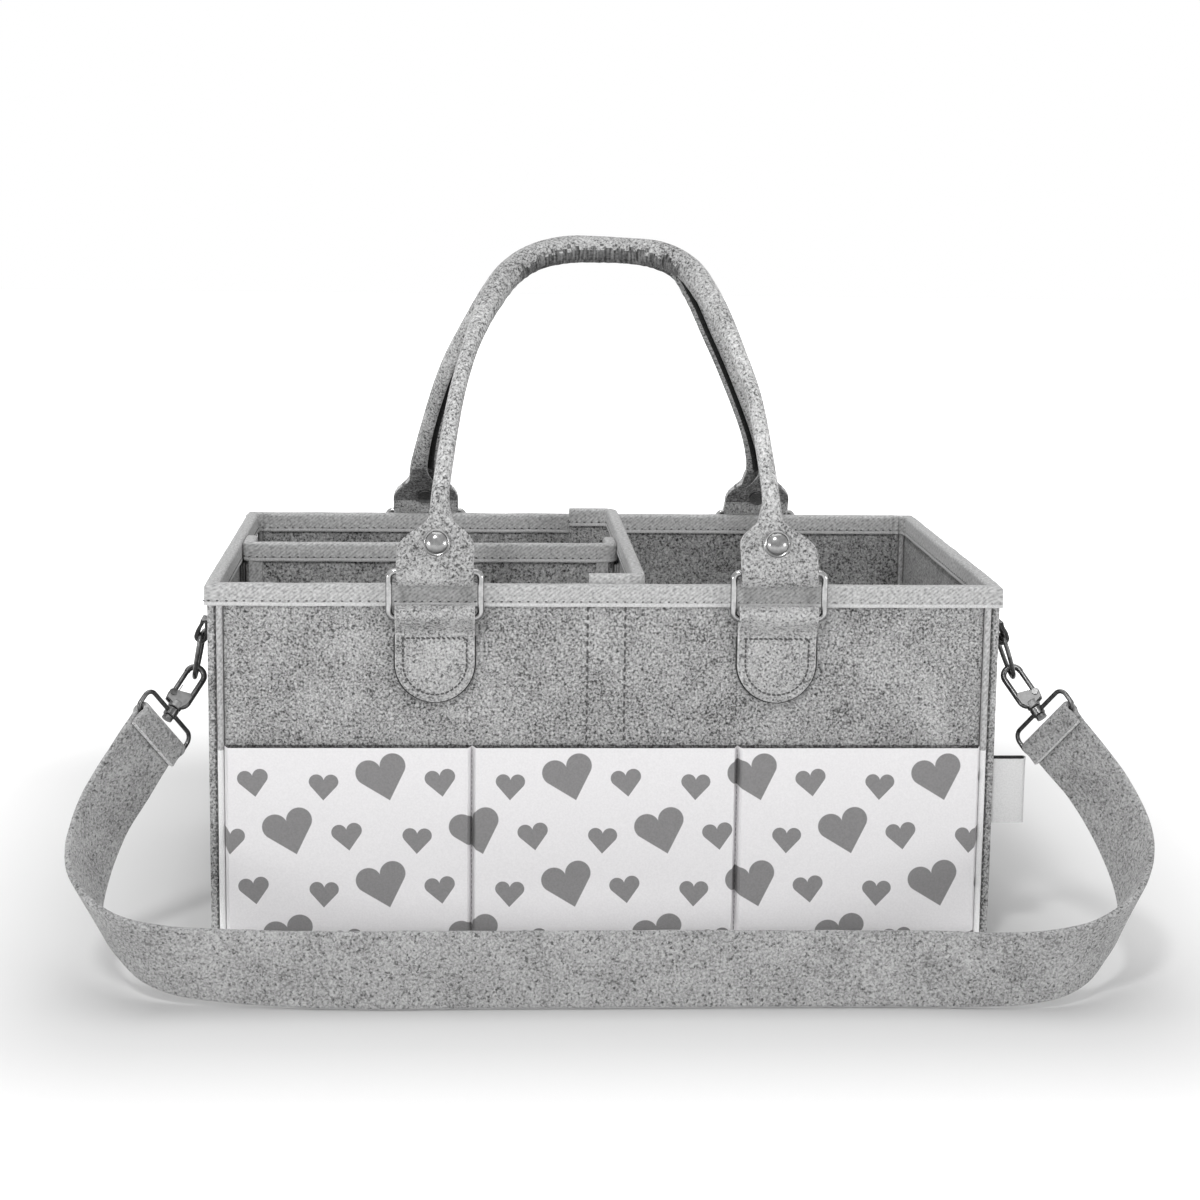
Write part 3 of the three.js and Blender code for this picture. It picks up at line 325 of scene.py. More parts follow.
def cloth_finish(name, dark, light, scale, depth):
    finish, tree, shader = new_finish(name, 0.9, sheen=0.1)
    place = add_node(tree, "ShaderNodeTexCoord").outputs["Object"]
    pile = noise_at(tree, place, scale, Detail=3.0)
    tree.links.new(ramp(tree, pile, ((0.35, dark), (0.65, light))), shader.inputs["Base Color"])
    bump(tree, shader, pile, depth, 0.7)
    return finish


def crease_finish(name, dark, middle, light):
    finish, tree, shader = new_finish(name, 0.95, sheen=0.1)
    coordinates = add_node(tree, "ShaderNodeTexCoord").outputs
    across = add_node(tree, "ShaderNodeMapping", {
        "Vector": coordinates["UV"], "Rotation": (0, 0, 0.12), "Scale": (1, 0.2, 1)}).outputs[0]
    crease = noise_at(tree, across, 820.0, Detail=1.5)
    fibre = noise_at(tree, coordinates["Object"], 760.0)
    both = math_node(tree, "MULTIPLY_ADD", crease, 0.65, math_node(tree, "MULTIPLY", fibre, 0.35))
    tone = ramp(tree, both, ((0.38, dark), (0.5, middle), (0.62, light)))
    tree.links.new(tone, shader.inputs["Base Color"])
    bump(tree, shader, both, 0.0008, 0.8)
    return finish


chrome = metal_finish("chrome", 0.28, 0.38, 0.14)
rivet_steel = metal_finish("rivet_steel", 0.22, 0.3, 0.2)
clip_steel = metal_finish("clip_steel", 0.2, 0.27, 0.55)
pin_black = metal_finish("pin_black", 0.015, 0.03, 0.6)
gunmetal = metal_finish("gunmetal", 0.08, 0.14, 0.3)
thread_grey = cloth_finish("thread_grey", 0.34, 0.48, 1500.0, 0.0001)
# dark dimples that paint the shade in the needle holes
painted_hole_shade = cloth_finish("painted_hole_shade", 0.06, 0.1, 900.0, 0.0001)
ribbon_white = cloth_finish("ribbon_white", 0.8, 0.88, 1300.0, 0.0001)
label_white = cloth_finish("label_white", 0.68, 0.76, 1300.0, 0.0001)
# a paler finish that paints a highlight along the tape's hem
painted_hem_highlight = cloth_finish("painted_hem_highlight", 0.5, 0.64, 1300.0, 0.0001)
# near black: painted shade in the handles' slits, inside the label, behind the tabs and on the side
# tabs' edges
painted_deep_shade = cloth_finish("painted_deep_shade", 0.015, 0.05, 900.0, 0.0002)
loop_pile = cloth_finish("loop_pile", 0.28, 0.42, 1200.0, 0.0006)
# dark creases that also paint the shade on the grip's underside
grip_creases_and_shade = crease_finish("grip_creases_and_shade", 0.03, 0.11, 0.23)
print("small finishes: 5 metals, 7 cloths and", grip_creases_and_shade.name)

# %% [markdown]
# ## Skins over rings
# Most soft pieces here are bands: a strap, a tape, a rolled handle. Each is a row of rings of
# points with a skin drawn over them, like the ribs and cover of a kite. Bevelled curves could do
# some of it, but only rings let the width, the thickness and the roundness change along the way.
# The skin also gets its UV map in metres.

# %% Mesh helpers
X_AXIS, Y_AXIS, Z_AXIS = Vector((1, 0, 0)), Vector((0, 1, 0)), Vector((0, 0, 1))
FOUR_CORNERS = ((-1, -1), (1, -1), (1, 1), (-1, 1))


def outwards(obj, smooth=40):
    work = bmesh.new()
    work.from_mesh(obj.data)
    bmesh.ops.remove_doubles(work, verts=work.verts, dist=1e-7)
    bmesh.ops.recalc_face_normals(work, faces=work.faces)
    work.to_mesh(obj.data)
    work.free()
    obj.data.shade_smooth()
    obj.data.set_sharp_from_angle(angle=math.radians(smooth))


def new_object(name, verts, faces, finishes, uvs=None, smooth=40):
    mesh = bpy.data.meshes.new(name)
    mesh.from_pydata([tuple(v) for v in verts], [], faces)
    if uvs:
        layer = mesh.uv_layers.new(name="UVMap")
        for polygon, corners in zip(mesh.polygons, uvs):
            for loop, corner in zip(polygon.loop_indices, corners):
                layer.data[loop].uv = corner
    for finish in finishes:
        mesh.materials.append(finish)
    obj = link_new(name, mesh)
    outwards(obj, smooth)
    return obj


def ease(value, low, high):
    t = min(max((value - low) / (high - low), 0), 1)
    return t * t * (3 - 2 * t)


def running(points):
    total = [0.0]
    for a, b in zip(points, points[1:]):
        total.append(total[-1] + (b - a).length)
    return total


def neighbours(row, i):
    return row[max(i - 1, 0)], row[min(i + 1, len(row) - 1)]


def aside_of(along):
    return Vector((along.y, -along.x, 0))


def skin(name, rings, finish, closed=False, smooth=40):
    count = len(rings[0])
    middles = [sum(ring, Vector()) / count for ring in rings]
    along = running(middles + middles[:1])
    widest = max(rings, key=lambda ring: running(ring)[-1])
    around = running(widest + widest[:1])
    faces, uvs = [], []
    for i in range(len(rings) if closed else len(rings) - 1):
        j = (i + 1) % len(rings)
        for k in range(count):
            n = (k + 1) % count
            faces.append((i * count + k, i * count + n, j * count + n, j * count + k))
            uvs.append(((along[i], around[k]), (along[i], around[k + 1]),
                        (along[i + 1], around[k + 1]), (along[i + 1], around[k])))
    if not closed:
        for ring in (0, len(rings) - 1):
            faces.append(tuple(range(ring * count, (ring + 1) * count)))
            uvs.append(tuple((along[ring], around[k]) for k in range(count)))
    return new_object(name, [p for ring in rings for p in ring], faces, [finish], uvs, smooth)


def rounded(half_a, half_b, radius, steps=3):
    points = []
    for sign_a, sign_b, start in ((1, 1, 0), (-1, 1, 90), (-1, -1, 180), (1, -1, 270)):
        for i in range(steps + 1):
            angle = math.radians(start + 90 * i / steps)
            points.append((sign_a * (half_a - radius) + radius * math.cos(angle),
                           sign_b * (half_b - radius) + radius * math.sin(angle)))
    return points


def ring_at(middle, across, out, section):
    return [middle + across * a + out * b for a, b in section]


def merge_into(target, *others):
    work = bmesh.new()
    for obj in (target, *others):
        work.from_mesh(obj.data)
    work.to_mesh(target.data)
    work.free()
    for obj in others:
        bpy.data.objects.remove(obj)
    target.data.shade_smooth()
    target.data.set_sharp_from_angle(angle=math.radians(40))
    return target


def finish_where(obj, finish, test):
    obj.data.materials.append(finish)
    for polygon in obj.data.polygons:
        if test(polygon):
            polygon.material_index = len(obj.data.materials) - 1


def settle(obj, body, slot, *nodes):
    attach(obj, body)
    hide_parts(*nodes)
    print(f"{obj.name}: {len(obj.data.polygons)} faces on {body}")
    return obj


# %% [markdown]
# ## Shoulder strap
# The strap is one felt band that stands on its edge on the table, swings up at both ends and is
# folded over the bar of a wire loop. Because it is a free cord, it comes first. The route is the
# CAD's own: places along the middle line and the direction of the upper edge at each. A cloth
# simulation would let it fall over, so the band is skinned along a smooth curve through those
# places.

# %% Strap route
LENGTH, DEPTH = 380, 250
STRAP_WIDTH, STRAP_FELT, STRAP_FLAP = 36, 3, 8
LEFT_ROUTE = (  # past the end panel, ahead of the front, above the table, upper edge: out, ahead, up
    (40.3, 12.2, 66.2, 0.59, 0.63, 0.5), (48, 16.4, 53.2, 0.5, 0.62, 0.6),
    (52.3, 25.9, 41.7, 0.43, 0.55, 0.71), (54, 38.3, 32.3, 0.39, 0.49, 0.78),
    (52.5, 52, 25, 0.32, 0.51, 0.8), (46.1, 64.6, 18.3, 0.23, 0.58, 0.78),
    (36, 74.8, 12, 0.1, 0.59, 0.8), (23.2, 82.1, 6.8, -0.04, 0.46, 0.89),
    (8.5, 85.8, 3.6, -0.08, 0.29, 0.95), (-7.1, 87.1, 2.1, -0.05, 0.19, 0.98),
    (-38.4, 89, 0.7, -0.02, 0.07, 1), (-70, 90.3, 0.3, 0, 0, 1), (-130, 90.5, 0.3, 0, 0, 1),
)
RIGHT_ROUTE = (
    (46.2, 14, 68.5, 0.47, 0.62, 0.63), (53.7, 21, 56.2, 0.44, 0.59, 0.67),
    (58.3, 31.4, 44.9, 0.39, 0.55, 0.74), (59.3, 44.5, 35.6, 0.32, 0.52, 0.79),
    (56.7, 58.4, 28, 0.22, 0.55, 0.81), (50.5, 70.8, 20.1, 0.11, 0.61, 0.78),
    (40, 81, 12.8, 0.02, 0.56, 0.83), (28.1, 89.8, 7.1, -0.05, 0.4, 0.92),
    (14, 95, 3.6, -0.1, 0.24, 0.97), (-2.1, 96.2, 1.6, -0.08, 0.15, 0.98),
    (-18.6, 95.2, 0.7, -0.05, 0.1, 0.99), (-50, 92, 0.3, 0, 0.02, 1), (-130, 90.5, 0.3, 0, 0, 1),
)
HOOK_OUTWARD, HOOK_FORWARD, LOOP_TURN = math.radians(34), math.radians(33), math.radians(41)
HOOK_BASE = {
    -1: Vector((-206.1603, -118.3133, 119.3026)),
    1: Vector((209.4949, -118.3133, 120.1961)),
}
LOOP_BAR = 15.3  # from the hook's base down to the loop bar that the strap is folded over


def clip_axes(side):
    stem = Vector((-side * math.sin(HOOK_OUTWARD) * math.cos(HOOK_FORWARD), math.sin(HOOK_FORWARD),
                   math.cos(HOOK_OUTWARD) * math.cos(HOOK_FORWARD)))
    out = Vector((side * math.cos(HOOK_OUTWARD), 0, math.sin(HOOK_OUTWARD)))
    return out, stem.cross(out), stem


def loop_across(side):
    out, aside, _ = clip_axes(side)
    return out * math.cos(LOOP_TURN) - aside * side * math.sin(LOOP_TURN)


def centripetal(points, share):
    last = len(points) - 1
    seat = min(int(share * last), last - 1)
    s = share * last - seat
    p1, p2 = points[seat], points[seat + 1]
    p0 = points[seat - 1] if seat else 2 * p1 - p2
    p3 = points[seat + 2] if seat + 2 <= last else 2 * p2 - p1
    d0, d1, d2 = ((b - a).length ** 0.5 for a, b in ((p0, p1), (p1, p2), (p2, p3)))
    d1 = d1 if d1 > 1e-4 else 1.0
    d0 = d0 if d0 > 1e-4 else d1
    d2 = d2 if d2 > 1e-4 else d1
    leave = ((p1 - p0) / d0 - (p2 - p0) / (d0 + d1) + (p2 - p1) / d1) * d1
    arrive = ((p2 - p1) / d1 - (p3 - p1) / (d1 + d2) + (p3 - p2) / d2) * d1
    square = 3 * (p2 - p1) - 2 * leave - arrive
    cube = 2 * (p1 - p2) + leave + arrive
    return p1 + leave * s + square * s ** 2 + cube * s ** 3


def even_shares(points, steps):
    fine = [i / 2000 for i in range(2001)]
    length = running([centripetal(points, share) for share in fine])
    shares, at = [], 0
    for i in range(steps + 1):
        while at < 1999 and length[at + 1] < length[-1] * i / steps:
            at += 1
        part = (length[-1] * i / steps - length[at]) / max(length[at + 1] - length[at], 1e-9)
        shares.append(min(fine[at] + part / 2000, 1.0))
    return shares


def route_places(rows, side):
    return [(Vector((side * (LENGTH / 2 + past), -DEPTH / 2 - ahead, STRAP_WIDTH / 2 + rise)),
             Vector((side * out, -fore, up)).normalized()) for past, ahead, rise, out, fore, up in rows]


def folded_end(side):
    across = loop_across(side).normalized()
    down = -clip_axes(side)[2]
    front = across.cross(down)
    if front.y > 0:
        front.negate()
    bar = HOOK_BASE[side] + down * LOOP_BAR
    bend, shut = 3.1, (STRAP_FELT + 0.3) / 2
    path = [(STRAP_FLAP * (1 - i / 6), shut + (bend - shut) * max(0, i / 3 - 1) ** 2)
            for i in range(6)]
    turn = [math.radians(90 + 180 * i / 14) for i in range(15)]
    back = [(u, -v) for u, v in reversed(path)]
    path = path + [(bend * math.cos(a), bend * math.sin(a)) for a in turn] + back
    return [(bar + down * u + front * v, across) for u, v in path]


left_end, right_end = folded_end(-1), folded_end(1)[::-1]
run = [left_end[-1], *route_places(LEFT_ROUTE, -1), *route_places(RIGHT_ROUTE, 1)[::-1], right_end[0]]
places, edges = [p for p, _ in run], [e for _, e in run]
shares = even_shares(places, 220)[1:-1]
middle_run = [(centripetal(places, s), centripetal(edges, s)) for s in shares]
print("strap run between the folds, mm:", round(running([p for p, _ in middle_run])[-1], 1))


def band_rings(stations, half_width, half_felt, radius):
    rings = []
    for i, (place, edge) in enumerate(stations):
        (before, _), (after, _) = neighbours(stations, i)
        along = (after - before).normalized()
        across = (edge - along * edge.dot(along)).normalized()
        wave = 0.25 * noise.noise(place * 0.09)
        section = rounded(half_width + wave, half_felt, radius, 3)
        rings.append([p * MM for p in ring_at(place, across, along.cross(across), section)])
    return rings


strap_stations = [*left_end, *middle_run, *right_end]
strap_rings = band_rings(strap_stations, STRAP_WIDTH / 2, STRAP_FELT / 2, 1.1)
strap = skin("shoulder_strap_band", strap_rings, strap_felt)
# the strap's cut ends get a painted highlight
finish_where(strap, painted_end_highlight, lambda polygon: len(polygon.vertices) > 4)
settle(strap, "shell", "strap_felt", "shoulder_strap")

# %% [markdown]
# ## Felt panels
# The base and the four walls are plain sheets of felt. A sheet is never quite flat and its cut edge
# is a little round, so each panel starts from the CAD's box, gets its edges bevelled, is cut into a
# grid and then moved by a faint noise. A Displace modifier would do the same, but moving the points
# here keeps the piece a plain mesh.

# %% Panels
WAVE_SEED = 1
noise.seed_set(WAVE_SEED)  # noise_vector would follow the clock, and each run would differ


def soft_block(name, node, finish, edge=0.0009, grid=0.014, wave=0.00018):
    low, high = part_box(node)
    work = bmesh.new()
    bmesh.ops.create_cube(work, size=1)
    size, middle = high - low, (high + low) / 2
    for vert in work.verts:
        vert.co = Vector(c * s for c, s in zip(vert.co, size)) + middle
    bmesh.ops.bevel(work, geom=list(work.edges), offset=min(edge, 0.4 * min(size)), segments=2,
                    affect="EDGES", profile=0.5)
    for axis in range(3):
        cuts = int(size[axis] / grid)
        for i in range(1, cuts):
            place = low.copy()
            place[axis] += size[axis] * i / cuts
            normal = Vector((0, 0, 0))
            normal[axis] = 1
            everything = work.verts[:] + work.edges[:] + work.faces[:]
            bmesh.ops.bisect_plane(work, geom=everything, plane_co=place, plane_no=normal)
    for vert in work.verts:
        vert.co += noise.noise_vector(vert.co * 45) * wave
    mesh = bpy.data.meshes.new(name)
    work.to_mesh(mesh)
    work.free()
    mesh.materials.append(finish)
    obj = link_new(name, mesh)
    outwards(obj)
    return obj


for wall in ("base", "front", "back", "left", "right"):
    settle(soft_block(f"{wall}_felt", f"{wall}_panel", wall_felt), "shell", "felt", f"{wall}_panel")

# %% [markdown]
# ## Rim tape
# One tape is folded over the top edge of all four walls. Its section is a tall upside-down U,
# carried round the box and mitred at the corners, with a hem along both lower edges that gets a
# paler finish as a painted highlight. At the two back corners the tape is gathered into small
# pleats, so the rings stand closer there and are pushed in and out by turns.

# %% Rim tape
RIM_TOP, RIM_DROP, RIM_HALF = 180, 10.5, 3.3
HEM_OUT = 0.2
FOLD_FACES, HEM_FACES = 20, (0, 1, 2, 12, 13, 14)  # faces round a folded tape, and those of its hems
CLOSE_STATIONS = [3.6 + 0.5 * k for k in range(24)]  # from each corner, near enough for the pleats
RIM_PARTS = 46  # of the rest of a side
rim_x, rim_y = LENGTH / 2 - 2, DEPTH / 2 - 2
rim_corners = [Vector((x * rim_x, y * rim_y, 0)) for x, y in FOUR_CORNERS]


def fold_section(half, tape, drop, crown):
    hem = half + HEM_OUT
    outer = [(half, -drop), (hem, 0.5 - drop), (hem, 1.1 - drop), (half, 1.6 - drop), (half, -crown)]
    outer += [(half - crown + crown * math.cos(a), -crown + crown * math.sin(a))
              for a in (math.radians(30), math.radians(60), math.radians(90))]
    outer += [(-a, b) for a, b in reversed(outer)]
    inner_half = half - tape
    inner = [(-inner_half, -drop), (-inner_half, -tape), (inner_half, -tape), (inner_half, -drop)]
    return outer + inner


# paints a highlight on the hem faces
def with_hem_highlight(tape):
    finish_where(tape, painted_hem_highlight,
                 lambda face: len(face.vertices) == 4 and face.index % FOLD_FACES in HEM_FACES)
    return tape


def pleat(from_back):
    return 0.22 * (1 - ease(from_back, 8, 14)) * (1 - 2 * abs(math.sin(from_back * 0.95)) ** 0.5)


def rim_rings(section):
    rings = []
    for i, start in enumerate(rim_corners):
        end = rim_corners[(i + 1) % 4]
        along = (end - start).normalized()
        out = aside_of(along)
        length = (end - start).length
        mitre = out + aside_of((start - rim_corners[i - 1]).normalized())
        stations = [(0.0, mitre * 0.955)]
        last = CLOSE_STATIONS[-1]
        inside = [last + (length - 2 * last) * k / RIM_PARTS for k in range(1, RIM_PARTS)]
        for s in CLOSE_STATIONS + inside + [length - gap for gap in reversed(CLOSE_STATIONS)]:
            from_back = min(s if start.y > 0 else length, length - s if end.y > 0 else length)
            stations.append((s, out * (1 + pleat(from_back))))
        for s, direction in stations:
            place = start + along * s
            lift = 0.3 * noise.noise(place * 0.05) + 0.12 * noise.noise(place * 0.3)
            push = 0.12 * noise.noise(place * 0.21 + Vector((5, 0, 0)))
            ring = []
            for a, b in section:
                sag = lift if b > -RIM_DROP + 1 else lift * 0.6
                level = place + direction * (a + push * (a > 0))
                ring.append((level + Vector((0, 0, RIM_TOP + b + sag - 0.2))) * MM)
            rings.append(ring)
    return rings


rim_section = fold_section(RIM_HALF, 1, RIM_DROP, 1.9)
rim = skin("rim_tape", rim_rings(rim_section), tape_grey, closed=True, smooth=50)
settle(with_hem_highlight(rim), "shell", "binding_tape", "rim_binding")

# %% [markdown]
# ## Corner tapes
# A narrow tape is sewn into each upright corner and stands a little proud of the long wall. Beside
# the pocket panel the front tapes are covered by the white cloth. Rings stacked up the corner make
# the strip, and the faces below the pocket's mouth are given the cloth's finish.

# %% Corner tapes
POCKET_TOP = 101
UNDER_RIM, BEHIND_RIM = 0.1692, (0.1694, 0.174)  # heights, metres
RIM_TUCK = 0.0019  # the tape is thinner by this where the rim tape covers it


def corner_tape(wall, end):
    low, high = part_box(f"{wall}_{end}_corner_binding")
    facing = -1 if wall == "front" else 1
    inner, outer = sorted((abs(low.y), abs(high.y)))
    rings = []
    heights = [low.z + (UNDER_RIM - low.z) * i / 40 for i in range(41)] + [*BEHIND_RIM, high.z]
    for i, z in enumerate(heights):
        reach = outer if i <= 40 else outer - RIM_TUCK
        half_y = (reach - inner) / 2
        wave = 0.00015 * noise.noise(Vector((facing, 3, z * 60)))
        middle = Vector(((low.x + high.x) / 2 + wave, facing * (inner + half_y), z))
        section = rounded((high.x - low.x) / 2, half_y, 0.0011)
        rings.append(ring_at(middle, X_AXIS, Y_AXIS, section))
    tape = skin(f"{wall}_{end}_corner_tape", rings, tape_grey)
    if wall == "front":
        finish_where(tape, ribbon_white, lambda polygon: polygon.center.z < POCKET_TOP * MM)
    return tape


for wall in ("front", "back"):
    for end in ("left", "right"):
        settle(corner_tape(wall, end), "shell", "binding_tape", f"{wall}_{end}_corner_binding")

# %% [markdown]
# ## Pocket panel
# One white cloth runs across the front and is sewn down at its ends, at its foot and on two upright
# seams, so it makes three flat pockets that stand a little open. The cloth is built as upright
# slices: each goes up the outside and down the inside, and how far it stands off the wall depends
# on the distance to the nearest seam. The open mouth lies in deep shade, which soft light would
# wash out, so a thin dark strip on the wall follows it.

# %% Pocket cloth
POCKET_FOOT, POCKET_CLOTH, POCKET_ROOM = 6, 1.2, 6
FRONT_HALF, SLICES, LEVELS = 182.4, 365, 35  # half span, slices, points up each face of a slice
pocket_seams = (-FRONT_HALF, -64, 64, FRONT_HALF)
front_places = [-FRONT_HALF + 2 * FRONT_HALF * i / (SLICES - 1) for i in range(SLICES)]


def pocket_stand(x, z):
    nearest = min(abs(x - seam) for seam in pocket_seams)
    plan = ease(nearest, 0.2, 1.7)
    foot = math.sqrt(min(max((z - POCKET_FOOT) / 9, 0), 1))
    slack = 0.3 * noise.noise(Vector((x * 0.035, 2, z * 0.03)))
    slack += 0.1 * noise.noise(Vector((x * 0.12, 7, z * 0.05)))
    return 0.3 + plan * foot * (POCKET_ROOM - 0.4 + slack)


def on_pocket(x, z, layer):
    return Vector((x, -DEPTH / 2 - pocket_stand(x, min(z, POCKET_TOP)) - layer, z))


def pocket_slice(x):
    rise = POCKET_TOP - POCKET_FOOT
    heights = [POCKET_FOOT + rise * (i / (LEVELS - 1)) ** 0.9 for i in range(LEVELS)]
    outside = [on_pocket(x, z, POCKET_CLOTH) for z in heights]
    inside = [on_pocket(x, z, 0) for z in reversed(heights)]
    lip = on_pocket(x, POCKET_TOP + 0.35, POCKET_CLOTH / 2)
    return [p * MM for p in outside + [lip] + inside]


slices = [pocket_slice(x) for x in front_places]
pocket = skin("pocket_cloth", slices, printed_cloth, smooth=55)
settle(pocket, "shell", "printed_cloth", "pocket_panel")

# %% Shade in the pocket's mouth
SHADE_OUT, SHADE_IN, SHADE_DROP = 0.28, -0.2, 3
mouth = []
for x in front_places:
    foot = POCKET_TOP - SHADE_DROP
    top = POCKET_TOP + 0.5 + 0.5 * noise.noise(Vector((x * 0.21, 3, 5)))
    section = ((SHADE_OUT, foot), (SHADE_OUT, top), (SHADE_IN, top), (SHADE_IN, foot))
    mouth.append([Vector((x, -DEPTH / 2 - y, z)) * MM for y, z in section])
settle(skin("pocket_mouth_shade", mouth, painted_mouth_shade), "shell", "felt")

# %% [markdown]
# ## Side label
# A blank white ribbon is folded double and caught in the right front seam. Its plan is a long thin
# hairpin, so one hairpin outline is stacked up the height with a slight lean. The front ply ends a
# little lower at the top, and the faces inside get painted shade, so the slit between the plies
# shows as a thin dark line.

# %% Label
LABEL_PLACE, LABEL_FOOT, LABEL_HEIGHT = (190.3, -119), 61.5, 33
LABEL_REACH, LABEL_HALF, LABEL_PLY, LABEL_SEWN = 16.5, 2.0, 0.8, 7
LABEL_POINTS, LABEL_INSIDE = 30, range(15, 29)  # points round the hairpin, faces between its plies


def label_ring(z):
    half, inner_half = LABEL_HALF, LABEL_HALF - LABEL_PLY
    bend = [math.radians(-90 + 180 * i / 10) for i in range(11)]
    tip = LABEL_REACH - half
    outer = [(tip + half * math.cos(a), half * math.sin(a)) for a in bend]
    inner = [(tip + inner_half * math.cos(a), inner_half * math.sin(a)) for a in reversed(bend)]
    outline = [(0, -half), (LABEL_SEWN, -half), *outer, (LABEL_SEWN, half), (0, half)]
    outline += [(0, inner_half), (LABEL_SEWN, inner_half), *inner]
    outline += [(LABEL_SEWN, -inner_half), (0, -inner_half)]
    lean = 0.35 * math.sin((z - LABEL_FOOT) / LABEL_HEIGHT * math.pi)
    drop = 1.0 if z > 94 else 0
    x, y = LABEL_PLACE
    return [Vector((x + u, y + v + lean * u / LABEL_REACH, z - drop * (v < -0.5))) * MM
            for u, v in outline]


label_heights = [LABEL_FOOT + LABEL_HEIGHT * i / 10 for i in range(11)]
label = skin("label_ribbon", [label_ring(z) for z in label_heights], label_white)
finish_where(label, painted_deep_shade,
             lambda face: len(face.vertices) == 4 and face.index % LABEL_POINTS in LABEL_INSIDE)
settle(label, "shell", "label_ribbon", "side_label")

# %% [markdown]
# ## Anchor tabs
# Four felt tabs carry the handle rings. Each is a strip that goes over the ring's lower bar and is
# sewn flat to the wall, with a half-round end. A path in the side view gives the fold, the width
# shrinks along a half circle, and a skin over the cross-sections gives one soft strip. A thin dark
# strip of a slightly larger outline lies behind each tab, like the line of shade that its thick
# edge leaves on the wall.

# %% Anchor tabs
RING_Y, LOWER_BAR, UPPER_BAR = -131.1, 166.5, 186.5
FEET = {("front", "left"): -82, ("front", "right"): 82, ("back", "left"): -95, ("back", "right"): 95}
BACK_SHIFT, BACK_LOWER = 5, 6.5
BACK_PLACE = Matrix.Translation(Vector((BACK_SHIFT, 0, -BACK_LOWER)) * MM)
TURNED = {"front": Matrix.Identity(4), "back": BACK_PLACE @ Matrix.Rotation(math.pi, 4, "Z")}
TAB_HALF, TAB_ROUND, TAB_Y = 19, 142, -126.9  # half width, start of the round end, middle of the felt
SHADE_HALF, SHADE_Y = 19.7, -125.7


def strip_rings(path, widths, felts, x, edge=0.8):
    rings = []
    for i, ((y, z), half, felt) in enumerate(zip(path, widths, felts)):
        (y0, z0), (y1, z1) = neighbours(path, i)
        out = Vector((0, z1 - z0, y0 - y1)).normalized()
        half = max(half, 0.3)
        section = rounded(half, felt / 2, min(edge, felt / 2 - 0.05, half - 0.05))
        rings.append(ring_at(Vector((x, y, z)), X_AXIS, out, section))
    return rings


def placed(rings, wall):
    return [[TURNED[wall] @ (p * MM) for p in ring] for ring in rings]


def local_x(wall, end):
    foot = FEET[wall, end]
    return foot if wall == "front" else -foot


def round_end(y, half):
    angles = [math.radians(90 * i / 16) for i in range(17)]
    return [(y, TAB_ROUND - half * math.sin(a)) for a in angles], [half * math.cos(a) for a in angles]


def anchor_strip(wall, end):
    turn = [math.radians(180 * i / 16) for i in range(17)]
    path = [(-127.2, 156), (-127.6, 160), (-127.9, 163.5)]
    path += [(RING_Y + 3.2 * math.cos(a), LOWER_BAR + 3.2 * math.sin(a)) for a in turn]
    path += [(-134.3 + 7.4 * ease(i / 8, 0, 1), LOWER_BAR - 9.5 * i / 8) for i in range(1, 9)]
    path += [(TAB_Y, 157 - 5 * i) for i in range(1, 3)]
    end_path, end_widths = round_end(TAB_Y, TAB_HALF)
    widths = [TAB_HALF] * len(path) + end_widths
    felts = [2.6] * 22 + [3.0] * (len(path) - 22) + [3.2 - 0.5 * ease(i, 12, 16) for i in range(17)]
    rings = strip_rings(path + end_path, widths, felts, local_x(wall, end), 1.4)
    return skin(f"{wall}_{end}_anchor_felt", placed(rings, wall), tab_felt)


def shade_behind(wall, end):
    end_path, end_widths = round_end(SHADE_Y, SHADE_HALF)
    path = [(SHADE_Y, z) for z in (155, 149, 143)] + end_path
    widths = [SHADE_HALF] * 3 + end_widths
    rings = strip_rings(path, widths, [1.0] * len(path), local_x(wall, end), 0.3)
    # painted shade: a dark strip behind the tab
    return skin(f"{wall}_{end}_anchor_shade", placed(rings, wall), painted_deep_shade)


def is_tab_edge(polygon):
    below = polygon.center.z < TAB_ROUND * MM and abs(polygon.normal.y) < 0.6
    return abs(polygon.normal.x) > 0.6 or below


for wall, end in FEET:
    strip = anchor_strip(wall, end)
    # painted highlight on the tab's lit edges
    finish_where(strip, painted_edge_highlight, is_tab_edge)
    settle(strip, "shell", "felt", f"{wall}_{end}_anchor_tab")
    shade = shade_behind(wall, end)
    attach(shade, "shell")

# %% [markdown]
# ## Rolled handles
# Each handle is one long piece of felt: flat and bell-shaped at the feet, where it is folded over
# the ring, and rolled into a tube in between, with a slit along the inside of the roll. A bevelled
# curve can't change from flat to round, so the rings are superellipses whose width, thickness and
# squeareness change along the middle line. The slit is a notch in the ring, and a faint noise puckers
# the felt where it is bent. Faces get painted light and shade: near black in the slit, dark creases
# with painted shade on the underside of the grip, a painted highlight on the edges of the feet, and
# on the back handle painted shade on the tab faces that turn down to the front.

